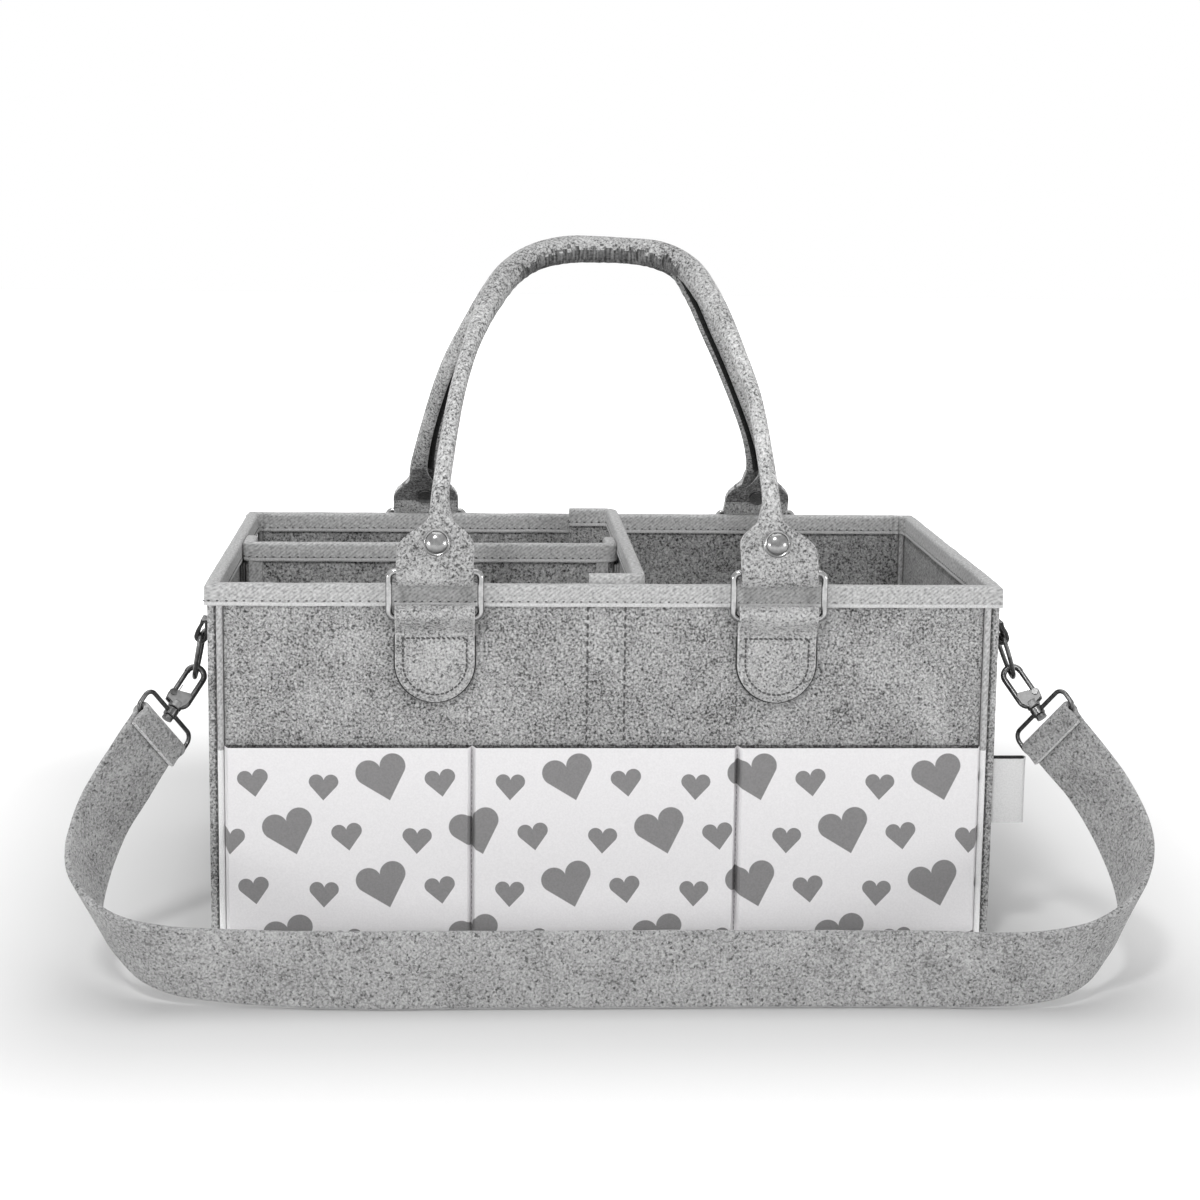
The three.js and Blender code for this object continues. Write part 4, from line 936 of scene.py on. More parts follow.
# %% Handle line
HANDLE_LINE = (  # shares of the foot's distance, a wider foot, a shift undone, a bow inwards, the rise
    (0.957, 0.85, 0.35, 0.0925, 0.174), (0.854, 0.43, 0.9, 0.348, 0.461),
    (0.762, 0.1, 1, 0.57, 0.644), (0.665, 0, 1, 0.741, 0.774), (0.549, 0, 1, 0.869, 0.878),
    (0.39, 0, 1, 0.954, 0.948), (0.195, 0, 1, 0.99, 0.988),
)
FRONT_FOOT, GRIP_Z, GRIP_Y, GRIP_RADIUS = 82, 337, -7.6, 6.5
HANDLES = {  # foot, shift, lower, lean, bowed, half widths at the neck and of the leg, depth of the leg
    "front": (82, 0, 0, math.radians(10), True, 5.6, 3.9, 5.4),
    "back": (95, BACK_SHIFT, BACK_LOWER, math.radians(36), False, 9.4, 6.3, 6.0),
}
BELL_HALF, BELL_HEIGHTS = 18.35, (12, 22, 23.5, 29)  # of the flat foot, and of the curve to the neck
HANDLE_SIDES = 56
SLIT_TURN = 1.05  # the slit along the roll faces inwards and over to the other handle
FOOT_PULL = {  # the legs draw the feet in
    ("front", -1): 2.4, ("front", 1): -4.4, ("back", -1): 0, ("back", 1): 0,
}


def tab_axes(wall):
    lean = HANDLES[wall][3]
    return Vector((0, math.sin(lean), math.cos(lean))), Vector((0, -math.cos(lean), math.sin(lean)))


def on_tab(wall, x, up):
    return Vector((x, RING_Y, UPPER_BAR)) + tab_axes(wall)[0] * up


def foot_pull(wall, side, up):
    return FOOT_PULL[wall, side] * ease(up, 8, 24) * (1 - ease(up, 32, 105))


def grip_sag(wall, x):
    x = x if wall == "front" else -x
    return 3.0 * math.exp(-((x - 42) / 15) ** 2) - 2.6 * math.exp(-(x / 24) ** 2)


def handle_half(wall, side):
    foot, shift, lower, _, bowed, *_ = HANDLES[wall]
    leg = on_tab(wall, side * foot, 36)
    half = [on_tab(wall, side * foot, 26), leg]
    for width, follow, centred, inward, up in HANDLE_LINE:
        x = side * (width * FRONT_FOOT + follow * (foot - FRONT_FOOT)) + centred * shift
        share = inward if bowed else up
        z = leg.z + (GRIP_Z + lower - leg.z) * up + grip_sag(wall, x)
        half.append(Vector((x, leg.y + (GRIP_Y - leg.y) * share, z)))
    return half


def bezier(points, t):
    a, b, c, d = points
    return a * (1 - t) ** 3 + 3 * b * t * (1 - t) ** 2 + 3 * c * t * t * (1 - t) + d * t ** 3


def bell_half_width(up, neck, leg):
    if up <= BELL_HEIGHTS[0]:
        return BELL_HALF
    if up >= BELL_HEIGHTS[-1]:
        reach = 15 if neck < 8 else 50
        return leg + (neck - leg) * max(0, 1 - (up - BELL_HEIGHTS[-1]) / reach) ** 2
    low, high = 0.0, 1.0
    for _ in range(30):
        t = (low + high) / 2
        low, high = (t, high) if bezier(BELL_HEIGHTS, t) < up else (low, t)
    return bezier((BELL_HALF, BELL_HALF, neck, neck), t)


def handle_ring(wall, place, along, side, up, arch_middle):
    _, _, lower, _, _, neck, leg_a, leg_b = HANDLES[wall]
    across = Vector((-side, 0, 0)).lerp(arch_middle - place, ease(up, 30, 70))
    across = (across - along * across.dot(along)).normalized()
    out = along.cross(across)
    swell = ease(place.z - lower - 180, 100, 142)
    half_a = bell_half_width(up + 2.3, neck, leg_a)
    half_a += (GRIP_RADIUS - half_a) * swell
    half_b = 2.2 + (leg_b - 2.2) * ease(up, 17, 38)
    half_b += (GRIP_RADIUS - half_b) * swell
    power = 2 / (8 - 6 * ease(up, 19, 34))
    slit = 0.72 * ease(up, 18, 30)
    ring = []
    for k in range(HANDLE_SIDES):
        around = 2 * math.pi * k / HANDLE_SIDES
        angle = SLIT_TURN + around - 0.55 * math.sin(around)
        c, s = math.cos(angle), math.sin(angle)
        a = half_a * math.copysign(abs(c) ** power, c)
        b = half_b * math.copysign(abs(s) ** power, s)
        away = abs(math.remainder(angle - SLIT_TURN, 2 * math.pi))
        notch = 1 - slit * math.exp(-(away / 0.3) ** 2)
        notch += 0.07 * slit * math.exp(-((away - 0.62) / 0.2) ** 2)
        inside = ease(c, -0.2, 0.9) * swell
        pucker = 1 + 0.012 * noise.noise(place * 0.16 + Vector((0, 0, k * 0.4)))
        pucker += 0.02 * inside * math.sin(place.x * 1.7 + 2 * noise.noise(place * 0.2))
        ring.append(place + (across * a + out * b) * notch * pucker)
    return ring


# %% Handle felt
SLIT_FACES = (*range(6), *range(50, HANDLE_SIDES))
SLIT_FROM, LIT_EDGE_BELOW, TAB_SHADE_BELOW = 0.203, 0.208, 0.207  # heights, metres
FIRST_RISE, FOOT_RISE = 2.4, 23.6  # the felt's start above the ring's bar, and its foot's rise


# the faces under the grip, which get painted shade
def is_grip_underside(face):
    x, _, z = face.center / MM
    if z < 318 or abs(x) > 40:
        return False
    reach = noise.noise(Vector((0.6 * x + 0.35 * math.copysign(z - 330, x), 0, 0)))
    return face.normal.z < 0.8 * reach + 0.12


def tab_fold(wall, x):
    rise, front = tab_axes(wall)
    drop = 5.6 if wall == "front" else 3.4
    turn = [math.radians(180 + 180 * i / 14) for i in range(15)]
    path = [(-1.0, 10), (-1.6, 7.5), (-2.5, 4.2)]
    path += [(3.2 * math.cos(a), drop * math.sin(a)) for a in turn]
    path += [(2.5, 4.2), (1.6, 7.5), (1.0, 10)]
    rings = []
    for i, (p, q) in enumerate(path):
        (p0, q0), (p1, q1) = neighbours(path, i)
        out = (front * (q1 - q0) - rise * (p1 - p0)).normalized()
        middle = Vector((x, RING_Y, UPPER_BAR)) + front * p + rise * q
        half = BELL_HALF - 0.25 * ease(abs(i - 10), 6, 10)
        rings.append(ring_at(middle, X_AXIS, out, rounded(half, 1.25, 0.8)))
    return skin(f"{wall}_fold_{x:.0f}", placed(rings, wall), wall_felt)


def handle_felt(wall):
    foot, shift, lower, *_ = HANDLES[wall]
    top = Vector((shift, GRIP_Y, GRIP_Z + lower + grip_sag(wall, 0)))
    line = [*handle_half(wall, -1), top, *handle_half(wall, 1)[::-1]]
    body = [centripetal(line, s) for s in even_shares(line, 190)]
    rises = [FIRST_RISE + FOOT_RISE * i / 20 for i in range(20)]
    left_foot, right_foot = ([on_tab(wall, x, up) for up in rises] for x in (-foot, foot))
    middle = left_foot + body + right_foot[::-1]
    from_left = running([on_tab(wall, -foot, 0)] + middle)[1:]
    total = from_left[-1] + FIRST_RISE
    arch_middle = Vector((0, RING_Y / 2, (UPPER_BAR + GRIP_Z) / 2))
    rings = []
    for i, place in enumerate(middle):
        before, after = neighbours(middle, i)
        along = (after - before).normalized()
        side = -1 if i < len(middle) / 2 else 1
        up = min(from_left[i], total - from_left[i])
        place = place + Vector((foot_pull(wall, side, up), 0, 0))
        rings.append(handle_ring(wall, place, along, side, up, arch_middle))
    felt = skin(f"{wall}_handle_felt", placed(rings, wall), handle_felt_with_shade, smooth=70)
    # painted shade in the slit of the roll
    finish_where(felt, painted_deep_shade,
                 lambda face: face.index % HANDLE_SIDES in SLIT_FACES and face.center.z > SLIT_FROM)
    # painted shade with creases on the grip's underside
    finish_where(felt, grip_creases_and_shade, lambda face: face.material_index == 0 and is_grip_underside(face))
    # painted highlight on the edges of the feet
    finish_where(felt, painted_edge_highlight, lambda face: face.center.z < LIT_EDGE_BELOW and abs(face.normal.x) > 0.7)
    # painted shade on the back tabs' faces that turn down to the front
    if wall == "back":
        finish_where(felt, painted_tab_shade,
                     lambda face: face.center.z < TAB_SHADE_BELOW and face.normal.y < -0.4)
    return merge_into(felt, *(tab_fold(wall, x) for x in (-foot, foot)))


for wall in HANDLES:
    settle(handle_felt(wall), f"{wall}_handle", "felt", f"{wall}_handle")

# %% [markdown]
# ## A wire made with Geometry Nodes
# Rings, D rings, hooks and strap loops are all bent wire. The path is drawn as a chain of edges,
# and one node tree turns any such chain into a round wire: mesh to curve, curve to mesh with a
# circle. The same tree serves every wire because its radius, its number of sides and its finish are
# inputs.

# %% Wire tree
def tree_with(name, sockets):
    tree = bpy.data.node_groups.new(name, "GeometryNodeTree")
    tree.interface.new_socket("Geometry", in_out="INPUT", socket_type="NodeSocketGeometry")
    for label, kind in sockets:
        tree.interface.new_socket(label, in_out="INPUT", socket_type=f"NodeSocket{kind}")
    tree.interface.new_socket("Geometry", in_out="OUTPUT", socket_type="NodeSocketGeometry")
    return tree, add_node(tree, "NodeGroupInput").outputs, add_node(tree, "NodeGroupOutput")


def realized(tree, geometry, finish):
    whole = add_node(tree, "GeometryNodeRealizeInstances", {"Geometry": geometry})
    painted = add_node(tree, "GeometryNodeSetMaterial",
                       {"Geometry": whole.outputs[0], "Material": finish})
    return painted.outputs[0]


wire_tree, given, result = tree_with(
    "bent wire", (("Radius", "Float"), ("Sides", "Int"), ("Finish", "Material")))
path = add_node(wire_tree, "GeometryNodeMeshToCurve", {"Mesh": given["Geometry"]})
profile = add_node(wire_tree, "GeometryNodeCurvePrimitiveCircle",
                   {"Resolution": given["Sides"], "Radius": given["Radius"]})
wire = add_node(wire_tree, "GeometryNodeCurveToMesh",
                {"Curve": path.outputs[0], "Profile Curve": profile.outputs[0], "Fill Caps": True})
wire_tree.links.new(realized(wire_tree, wire.outputs[0], given["Finish"]), result.inputs["Geometry"])


def edge_chains(name, chains):
    verts, edges = [], []
    for points, closed in chains:
        first = len(verts)
        verts += [tuple(p) for p in points]
        edges += [(first + i, first + i + 1) for i in range(len(points) - 1)]
        if closed:
            edges.append((len(verts) - 1, first))
    mesh = bpy.data.meshes.new(name)
    mesh.from_pydata(verts, edges, [])
    return link_new(name, mesh)


def run_tree(obj, tree, smooth=40, **inputs):
    modifier = obj.modifiers.new("nodes", "NODES")
    modifier.node_group = tree
    sockets = [s for s in tree.interface.items_tree if s.in_out == "INPUT"]
    identifiers = {s.name.lower(): s.identifier for s in sockets}
    for name, value in inputs.items():
        modifier[identifiers[name]] = value
    evaluated = obj.evaluated_get(bpy.context.evaluated_depsgraph_get())
    made = bpy.data.meshes.new_from_object(evaluated)
    obj.modifiers.remove(modifier)
    obj.data = made
    outwards(obj, smooth)
    return obj


# %% Handle rings
WIRE_SIDES = 16
RING_MIDDLE = (LOWER_BAR + UPPER_BAR) / 2 - 0.8


def bend(u, v, radius_u, radius_v, start, end, steps=8):
    angles = [math.radians(start + (end - start) * i / steps) for i in range(steps + 1)]
    return [(u + radius_u * math.cos(a), v + radius_v * math.sin(a)) for a in angles]


def wire_loop(width, height, lower, upper):
    u, v = width / 2, height / 2
    corners = ((1, 1, upper, 0), (-1, 1, upper, 90), (-1, -1, lower, 180), (1, -1, lower, 270))
    outline = []
    for side_u, side_v, r, start in corners:
        outline += bend(side_u * (u - r), side_v * (v - r), r, r, start, start + 90)
    return outline


def bent_wire(name, outline, origin, u_axis, v_axis, radius, finish, closed=True):
    points = [(origin + u_axis * u + v_axis * v) * MM for u, v in outline]
    chain = edge_chains(name, [(points, closed)])
    return run_tree(chain, wire_tree, radius=radius * MM, sides=WIRE_SIDES, finish=finish)


for wall, end in FEET:
    middle = TURNED[wall] @ (Vector((local_x(wall, end), RING_Y, RING_MIDDLE)) * MM) / MM
    ring = bent_wire(f"{wall}_{end}_chrome_ring", wire_loop(43.5, 22, 3, 3), middle,
                     X_AXIS, Z_AXIS, 1.6, chrome)
    settle(ring, f"{wall}_{end}_ring", "bright_metal", f"{wall}_{end}_ring")

# %% [markdown]
# ## Rivets
# One domed rivet goes through each handle foot: a steel dome with a thin raised edge in front and a
# flat cap behind. The two rivets of a handle are the same, so a second node tree puts one turned
# shape on two points.

# %% Rivets
RIVET_PROFILE = (  # radius and height, from the cap behind to the top of the dome
    (0, -3.5), (4.6, -3.5), (5, -3.2), (5, -2.5), (2, -2.5), (2, 2.4),
    (6.2, 2.4), (6.5, 2.7), (6.5, 3.0), (6.1, 3.3), (5.6, 3.2), (5.3, 2.95),
    (4.9, 3.35), (4.2, 3.9), (3.2, 4.4), (2.0, 4.75), (0.9, 4.88), (0, 4.9),
)
RIVET_UP = 14  # from the ring's bar up the handle's foot


def turned_shape(name, profile, axes, origin, finish, sides=28):
    across, aside, axis = axes
    angles = [2 * math.pi * k / sides for k in range(sides)]
    rings = []
    for radius, height in profile:
        middle, reach = origin + axis * height, max(radius, 0.01)
        rings.append([(middle + (across * math.cos(a) + aside * math.sin(a)) * reach) * MM
                      for a in angles])
    return skin(name, rings, finish, smooth=35)


rivet_tree, given, result = tree_with(
    "rivets", (("Rivet", "Object"), ("Turn", "Rotation"), ("Finish", "Material")))
shape = add_node(rivet_tree, "GeometryNodeObjectInfo", {"Object": given["Rivet"]})
spots = add_node(rivet_tree, "GeometryNodeInstanceOnPoints", {
    "Points": given["Geometry"], "Instance": shape.outputs["Geometry"], "Rotation": given["Turn"]})
rivet_tree.links.new(realized(rivet_tree, spots.outputs[0], given["Finish"]), result.inputs["Geometry"])

flat_axes = (X_AXIS, Y_AXIS, Z_AXIS)
one_rivet = turned_shape("one_rivet", RIVET_PROFILE, flat_axes, Vector(), rivet_steel)
for wall, (foot, *_) in HANDLES.items():
    pulled = [side * foot + foot_pull(wall, side, RIVET_UP) for side in (-1, 1)]
    points = [TURNED[wall] @ (on_tab(wall, x, RIVET_UP) * MM) for x in pulled]
    turn = (TURNED[wall].to_3x3() @ tab_axes(wall)[1]).to_track_quat("Z", "Y").to_euler()
    spots = edge_chains(f"{wall}_chrome_rivets", [([p], False) for p in points])
    rivets = run_tree(spots, rivet_tree, 35, rivet=one_rivet, turn=turn, finish=rivet_steel)
    settle(rivets, f"{wall}_handle", "bright_metal", f"{wall}_left_rivet", f"{wall}_right_rivet")
bpy.data.objects.remove(one_rivet)

# %% [markdown]
# ## Dividers
# Both dividers are felt sheets with their two ends turned over as flaps, and the top is bound with
# the same tape as the rim. In plan that is one line with two rounded corners, so the felt and its
# tape follow the same line with different sections. Upright tapes cover the turned corners.

# %% Dividers
def rounded_plan(points, radius=4.5):
    plan = [Vector((*points[0], 0))]
    for before, corner, after in zip(points, points[1:], points[2:]):
        corner = Vector((*corner, 0))
        back = (Vector((*before, 0)) - corner).normalized() * radius
        ahead = (Vector((*after, 0)) - corner).normalized() * radius
        for i in range(7):
            angle = math.radians(90 * i / 6)
            plan.append(corner + back * (1 - math.sin(angle)) + ahead * (1 - math.cos(angle)))
    plan.append(Vector((*points[-1], 0)))
    filled = [plan[0]]
    for a, b in zip(plan, plan[1:]):
        parts = max(1, round((b - a).length / 8))
        filled += [a.lerp(b, i / parts) for i in range(1, parts + 1)]
    return filled


def wall_rings(plan, section, base, wave=0.0):
    rings = []
    for i, place in enumerate(plan):
        before, after = neighbours(plan, i)
        lift = Vector((0, 0, base + wave * noise.noise(place * 0.06)))
        out = aside_of((after - before).normalized())
        rings.append([p * MM for p in ring_at(place + lift, out, Z_AXIS, section)])
    return rings


DIVIDERS = {  # plan of the middle of the felt, and its top
    "cross_divider": ([(-8.25, -116.35), (16, -116.35), (16, 116.35), (-8.25, 116.35)], 184),
    "length_divider": ([(-181.35, 32.25), (-181.35, 8), (9.6, 8), (9.6, 32.25)], 180),
}
DIVIDER_FOOT, UNDER_TAPE, DIVIDER_HALF = 4.3, 1.3, 1.75
tape_section = fold_section(3.05, 1, 9.8, 1.7)
divider_plans = {}
for name, (points, top) in DIVIDERS.items():
    plan = rounded_plan(points)
    divider_plans[name] = plan
    half_height = (top - UNDER_TAPE - DIVIDER_FOOT) / 2
    sheet_section = rounded(DIVIDER_HALF, half_height, 0.8)
    sheet_rings = wall_rings(plan, sheet_section, DIVIDER_FOOT + half_height)
    settle(skin(f"{name}_felt", sheet_rings, wall_felt), name, "felt", name)
    tape_rings = wall_rings(plan, tape_section, top - 0.15, 0.3)
    tape = skin(f"{name}_tape", tape_rings, tape_grey, smooth=50)
    settle(with_hem_highlight(tape), name, "binding_tape", f"{name}_binding")

# %% Tapes on the dividers' edges
EDGE_FOOT = 4.5
EDGE_TAPES = (  # piece, body, middle and half sizes in plan, top
    ("length_divider_left_edge_tape", "length_divider", (-177.4, 5.85), (3.6, 0.45), 172.2),
    ("length_divider_right_edge_tape", "length_divider", (4.9, 5.85), (3.2, 0.45), 172.2),
    ("cross_divider_front_edge_tape", "cross_divider", (18.15, -111.5), (0.45, 3.4), 175.2),
    ("cross_divider_back_edge_tape", "cross_divider", (18.15, 111.5), (0.45, 3.4), 175.2),
)
for name, body, (x, y), halves, top in EDGE_TAPES:
    section = rounded(*halves, 0.35)
    heights = [EDGE_FOOT + (top - EDGE_FOOT) * i / 24 for i in range(25)]
    rings = [[p * MM for p in ring_at(Vector((x, y, z)), X_AXIS, Y_AXIS, section)] for z in heights]
    tape = skin(name, rings, tape_grey)
    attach(tape, body)
print("edge tapes:", len(EDGE_TAPES))

# %% [markdown]
# ## Hook-and-loop strips
# The dividers are held by strips on the walls and on their flaps. They are thin woven bands, so a
# bevelled block with a bristly bump is enough for what is seen of them.

# %% Strips
STRIPS = {
    "shell": ("front_loop_strip", "back_loop_strip", "left_loop_strip"),
    "cross_divider": ("cross_front_hook_strip", "cross_back_hook_strip", "cross_loop_strip"),
    "length_divider": ("length_left_hook_strip", "length_right_hook_strip"),
}
for body, names in STRIPS.items():
    for name in names:
        pile = soft_block(f"{name}_pile", name, loop_pile, 0.0003, 0.01, 0.00006)
        settle(pile, body, "hook_and_loop", name)

# %% [markdown]
# ## Side tabs and clips
# At each end a small felt tab holds a D ring, and the strap's trigger hook is clipped into it. The
# hook is a bent wire with a boss, and two plates join its spine to the gate's pin. The gate is a
# straight round wire, and the hook turns on a post in the collar of the strap loop. All of it is
# wire from the same tree, with turned and bevelled parts added. Pins, posts and springs stay CAD
# and only get a finish.

# %% Side tabs and D rings
D_BAR = {side: Vector((side * 193.8, -109, 152.6)) for side in (-1, 1)}
D_SWING = {-1: math.radians(10.5), 1: math.radians(19.5)}
END = {-1: "left", 1: "right"}


def side_tab(side):
    turn = [math.radians(180 + 180 * i / 12) for i in range(13)]
    path = [(191.2, 160.4), (191.2, 156.5)]
    path += [(193.8 + 2.55 * math.cos(a), 152.6 + 2.55 * math.sin(a)) for a in turn]
    path += [(195.4, 155.4), (193.6, 158.2), (193.1, 160.4)]
    rings = []
    for i, (x, z) in enumerate(path):
        (x0, z0), (x1, z1) = neighbours(path, i)
        out = Vector((side * (z1 - z0), 0, x0 - x1)).normalized()
        middle = Vector((side * x, -109, z))
        rings.append([p * MM for p in ring_at(middle, Y_AXIS, out, rounded(7.5, 0.85, 0.6))])
    tab = skin(f"{END[side]}_side_tab_felt", rings, wall_felt)
    # painted shade on the side tab's edges
    finish_where(tab, painted_deep_shade, lambda face: abs(face.normal.y) > 0.5)
    return tab


d_outline = bend(-8, 3, 3, 3, 180, 270) + bend(8, 3, 3, 3, 270, 360)
d_outline += bend(0, 3, 11, 18.7, 0, 180, 28)[1:-1]
for side in (-1, 1):
    settle(side_tab(side), "shell", "felt", f"{END[side]}_side_tab")
    down = Vector((side * math.sin(D_SWING[side]), 0, -math.cos(D_SWING[side])))
    d_ring = bent_wire(f"{END[side]}_d_ring", d_outline, D_BAR[side], Y_AXIS, down, 1.1, gunmetal)
    settle(d_ring, f"{END[side]}_side_ring", "dark_metal", f"{END[side]}_side_ring")

# %% Trigger hooks, gates and strap loops
HOOK_WIDTH, HOOK_LENGTH, GATE_PIVOT = 8.7, 22.4, 4.2
HOOK_WIRE, GATE_WIRE, LOOP_WIRE = 1.45, 1.2, 1.1
EAR_FACE = 2.65  # from the hook's plane to the outer faces of its plates
PIN_RADIUS, PIN_REACH = 0.95, 1  # faces nearer the pin's axis than the reach belong to its heads
BOSS = ((1.8, -1.8), (3.0, -1.8), (3.4, -1.4), (3.4, 1.4), (3.0, 1.8), (1.8, 1.8))
PIN = ((0.1, -2.8), (PIN_RADIUS, -2.8), (PIN_RADIUS, 2.8), (0.1, 2.8))
COLLAR = ((1.8, -6.5), (2.8, -6.5), (3.2, -6.1), (3.2, -2.5), (2.8, -2.1), (1.8, -2.1))


def plate(name, outline, axes, origin, low, high, finish, edge=0.35):
    out, aside, stem = axes
    rings = []
    middle = sum((Vector((u, v)) for u, v in outline), Vector((0, 0))) / len(outline)
    for level, shrink in ((low, edge), (low + edge, 0), (high - edge, 0), (high, edge)):
        ring = []
        for u, v in outline:
            p = Vector((u, v))
            p -= (p - middle).normalized() * shrink
            ring.append((origin + out * p.x + stem * p.y + aside * level) * MM)
        rings.append(ring)
    return skin(name, rings, finish, smooth=30)


def trigger_hook(side):
    axes, base, r = clip_axes(side), HOOK_BASE[side], HOOK_WIDTH / 2
    out, aside, stem = axes
    tip, nose = HOOK_LENGTH - r, HOOK_LENGTH - r - 0.6
    outline = [(1.3, 0)] + bend(0, r, r, r, 270, 180) + bend(0, tip, r, r, 180, 0, 18) + [(r, nose)]
    hook = bent_wire(f"{END[side]}_hook_wire", outline, base, out, stem, HOOK_WIRE, gunmetal,
                     closed=False)
    pivot = base + out * r + stem * GATE_PIVOT
    parts = [turned_shape("boss", BOSS, axes, base, gunmetal),
             turned_shape("pin_head", PIN, (stem, out, aside), pivot, gunmetal)]
    ear = ([(-2.6, -0.6), (1.2, -0.8), (r + 1.4, 0.6)] + bend(r, GATE_PIVOT, 2.0, 2.0, -20, 110, 6)
           + [(-3.4, 8.6), (-4.6, 6.8), (-4.5, 2.6)])
    for low, high in ((-2.7, -1.6), (1.6, 2.7)):
        parts.append(plate("ear", ear, axes, base, low, high, gunmetal))
    hook = merge_into(hook, *parts)

    def is_outer(face):
        return abs((face.center / MM - base).dot(aside)) > EAR_FACE

    def from_pin(face):
        return (face.center / MM - pivot).cross(aside).length

    finish_where(hook, clip_steel, lambda face: is_outer(face) and from_pin(face) > PIN_REACH)
    finish_where(hook, pin_black, lambda face: is_outer(face) and from_pin(face) < PIN_REACH)
    return hook


def hook_gate(side):
    out, _, stem = clip_axes(side)
    r = HOOK_WIDTH / 2
    outline = [(r, GATE_PIVOT + 0.1), (r, GATE_PIVOT + 5), (r, HOOK_LENGTH - r - 0.9)]
    return bent_wire(f"{END[side]}_gate_bar", outline, HOOK_BASE[side], out, stem, GATE_WIRE, gunmetal,
                     closed=False)


def strap_loop(side):
    axes, base = clip_axes(side), HOOK_BASE[side]
    middle = base - axes[2] * (4.3 + 5.5)
    loop = bent_wire(f"{END[side]}_loop_wire", wire_loop(39.6, 11, 2.6, 4.5), middle,
                     loop_across(side), axes[2], LOOP_WIRE, gunmetal)
    return merge_into(loop, turned_shape("collar", COLLAR, axes, base, gunmetal))


for side in (-1, 1):
    end = END[side]
    settle(trigger_hook(side), f"{end}_hook", "dark_metal", f"{end}_hook")
    settle(hook_gate(side), f"{end}_gate", "dark_metal", f"{end}_gate")
    settle(strap_loop(side), "shell", "dark_metal", f"{end}_strap_loop")
    for name, finish in (("gate_pin", gunmetal), ("swivel_post", gunmetal), ("gate_spring", chrome)):
        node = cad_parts[f"{end}_{name}"]
        node.data.materials.clear()
        node.data.materials.append(finish)

# %% [markdown]
# ## Stitches
# Seams are what make the felt read as sewn. A row of stitches is a chain of edges laid on the
# surface, and one node tree walks along it: a bead of thread at every step, and between two beads a
# dark dimple that paints the shade in the hole where the needle went in. Step, length and thickness
# are inputs, so rim, pockets, tabs and dividers share the tree.

# %% Stitch tree
stitch_tree, given, result = tree_with("row of stitches", (
    ("Step", "Float"), ("Bead", "Vector"), ("Dimple", "Vector"), ("Thread", "Material"),
    ("Hole", "Material")))
line = add_node(stitch_tree, "GeometryNodeMeshToCurve", {"Mesh": given["Geometry"]})
half_step = math_node(stitch_tree, "MULTIPLY", given["Step"], 0.5)
later = add_node(stitch_tree, "GeometryNodeTrimCurve", {"Curve": line.outputs[0]}, mode="LENGTH")
start, stop = (next(s for s in later.inputs if s.name == name and s.enabled)
               for name in ("Start", "End"))
stitch_tree.links.new(half_step, start)
stop.default_value = 100.0  # metres, past the end of any row
both = add_node(stitch_tree, "GeometryNodeJoinGeometry")
for source, size, finish in ((line, "Bead", "Thread"), (later, "Dimple", "Hole")):
    spots = add_node(stitch_tree, "GeometryNodeCurveToPoints",
                     {"Curve": source.outputs[0], "Length": given["Step"]}, mode="LENGTH")
    bead = add_node(stitch_tree, "GeometryNodeMeshUVSphere", {"Segments": 6, "Rings": 4, "Radius": 1.0})
    turn = add_node(stitch_tree, "FunctionNodeAlignRotationToVector",
                    {"Vector": spots.outputs["Tangent"]}, axis="Z")
    beads = add_node(stitch_tree, "GeometryNodeInstanceOnPoints", {
        "Points": spots.outputs[0], "Instance": bead.outputs[0],
        "Rotation": turn.outputs[0], "Scale": given[size]})
    row = realized(stitch_tree, beads.outputs[0], given[finish])
    stitch_tree.links.new(row, both.inputs[0])
stitch_tree.links.new(both.outputs[0], result.inputs["Geometry"])
TAPE_BEAD, TAPE_DIMPLE = (0.25, 0.25, 1.4), (0.4, 0.4, 0.75)  # half sizes across, through and along


def sewn(name, body, chains, step=4.2, bead=TAPE_BEAD, dimple=TAPE_DIMPLE):
    rows = edge_chains(name, [([p * MM for p in points], closed) for points, closed in chains])
    run_tree(rows, stitch_tree, 60, step=step * MM, bead=[b * MM for b in bead],
             dimple=[d * MM for d in dimple], thread=thread_grey, hole=painted_hole_shade)
    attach(rows, body)
    print(f"{name}: {len(rows.data.polygons)} faces in {len(chains)} rows")


# %% Rows on the shell
RIM_ROW = 171.7
OUTER_ROW = [(x * 191.25, y * 126.25) for x, y in FOUR_CORNERS]
INNER_ROWS = (  # the inner row is left out behind the dividers' flaps, which slide there
    ((17, -119.75), (184.75, -119.75), (184.75, 119.75), (17, 119.75)),
    ((-12, 119.75), (-184.75, 119.75), (-184.75, 34)),
    ((-184.75, 6), (-184.75, -119.75), (-12, -119.75)),
)


def level_row(row):
    return [Vector((x, y, RIM_ROW)) for x, y in row]


def upright_row(x, y, low, high, parts=12):
    return [Vector((x, y, low + (high - low) * i / parts)) for i in range(parts + 1)], False


rim_rows = [(level_row(OUTER_ROW), True)] + [(level_row(row), False) for row in INNER_ROWS]
sewn("rim_stitches", "shell", rim_rows)

pocket_rows = [([on_pocket(x, z, POCKET_CLOTH) for z in range(9, 100, 3)], False)
               for x in pocket_seams[1:-1]]
sewn("pocket_stitches", "shell", pocket_rows, 2.6, (0.18, 0.18, 0.6), (0.3, 0.3, 1.15))

strip_rows = [upright_row(x, -125.05, 103, 168) for x in (-9, 9)]
strip_rows += [upright_row(x, 125.05, 14, 168) for x in (-9, 9)]
strip_rows += [upright_row(-190.05, y, 14, 168) for y in (10.25, 28.25)]
sewn("strip_stitches", "shell", strip_rows, 4.0, (0.15, 0.15, 0.6), (0.6, 0.5, 1.4))

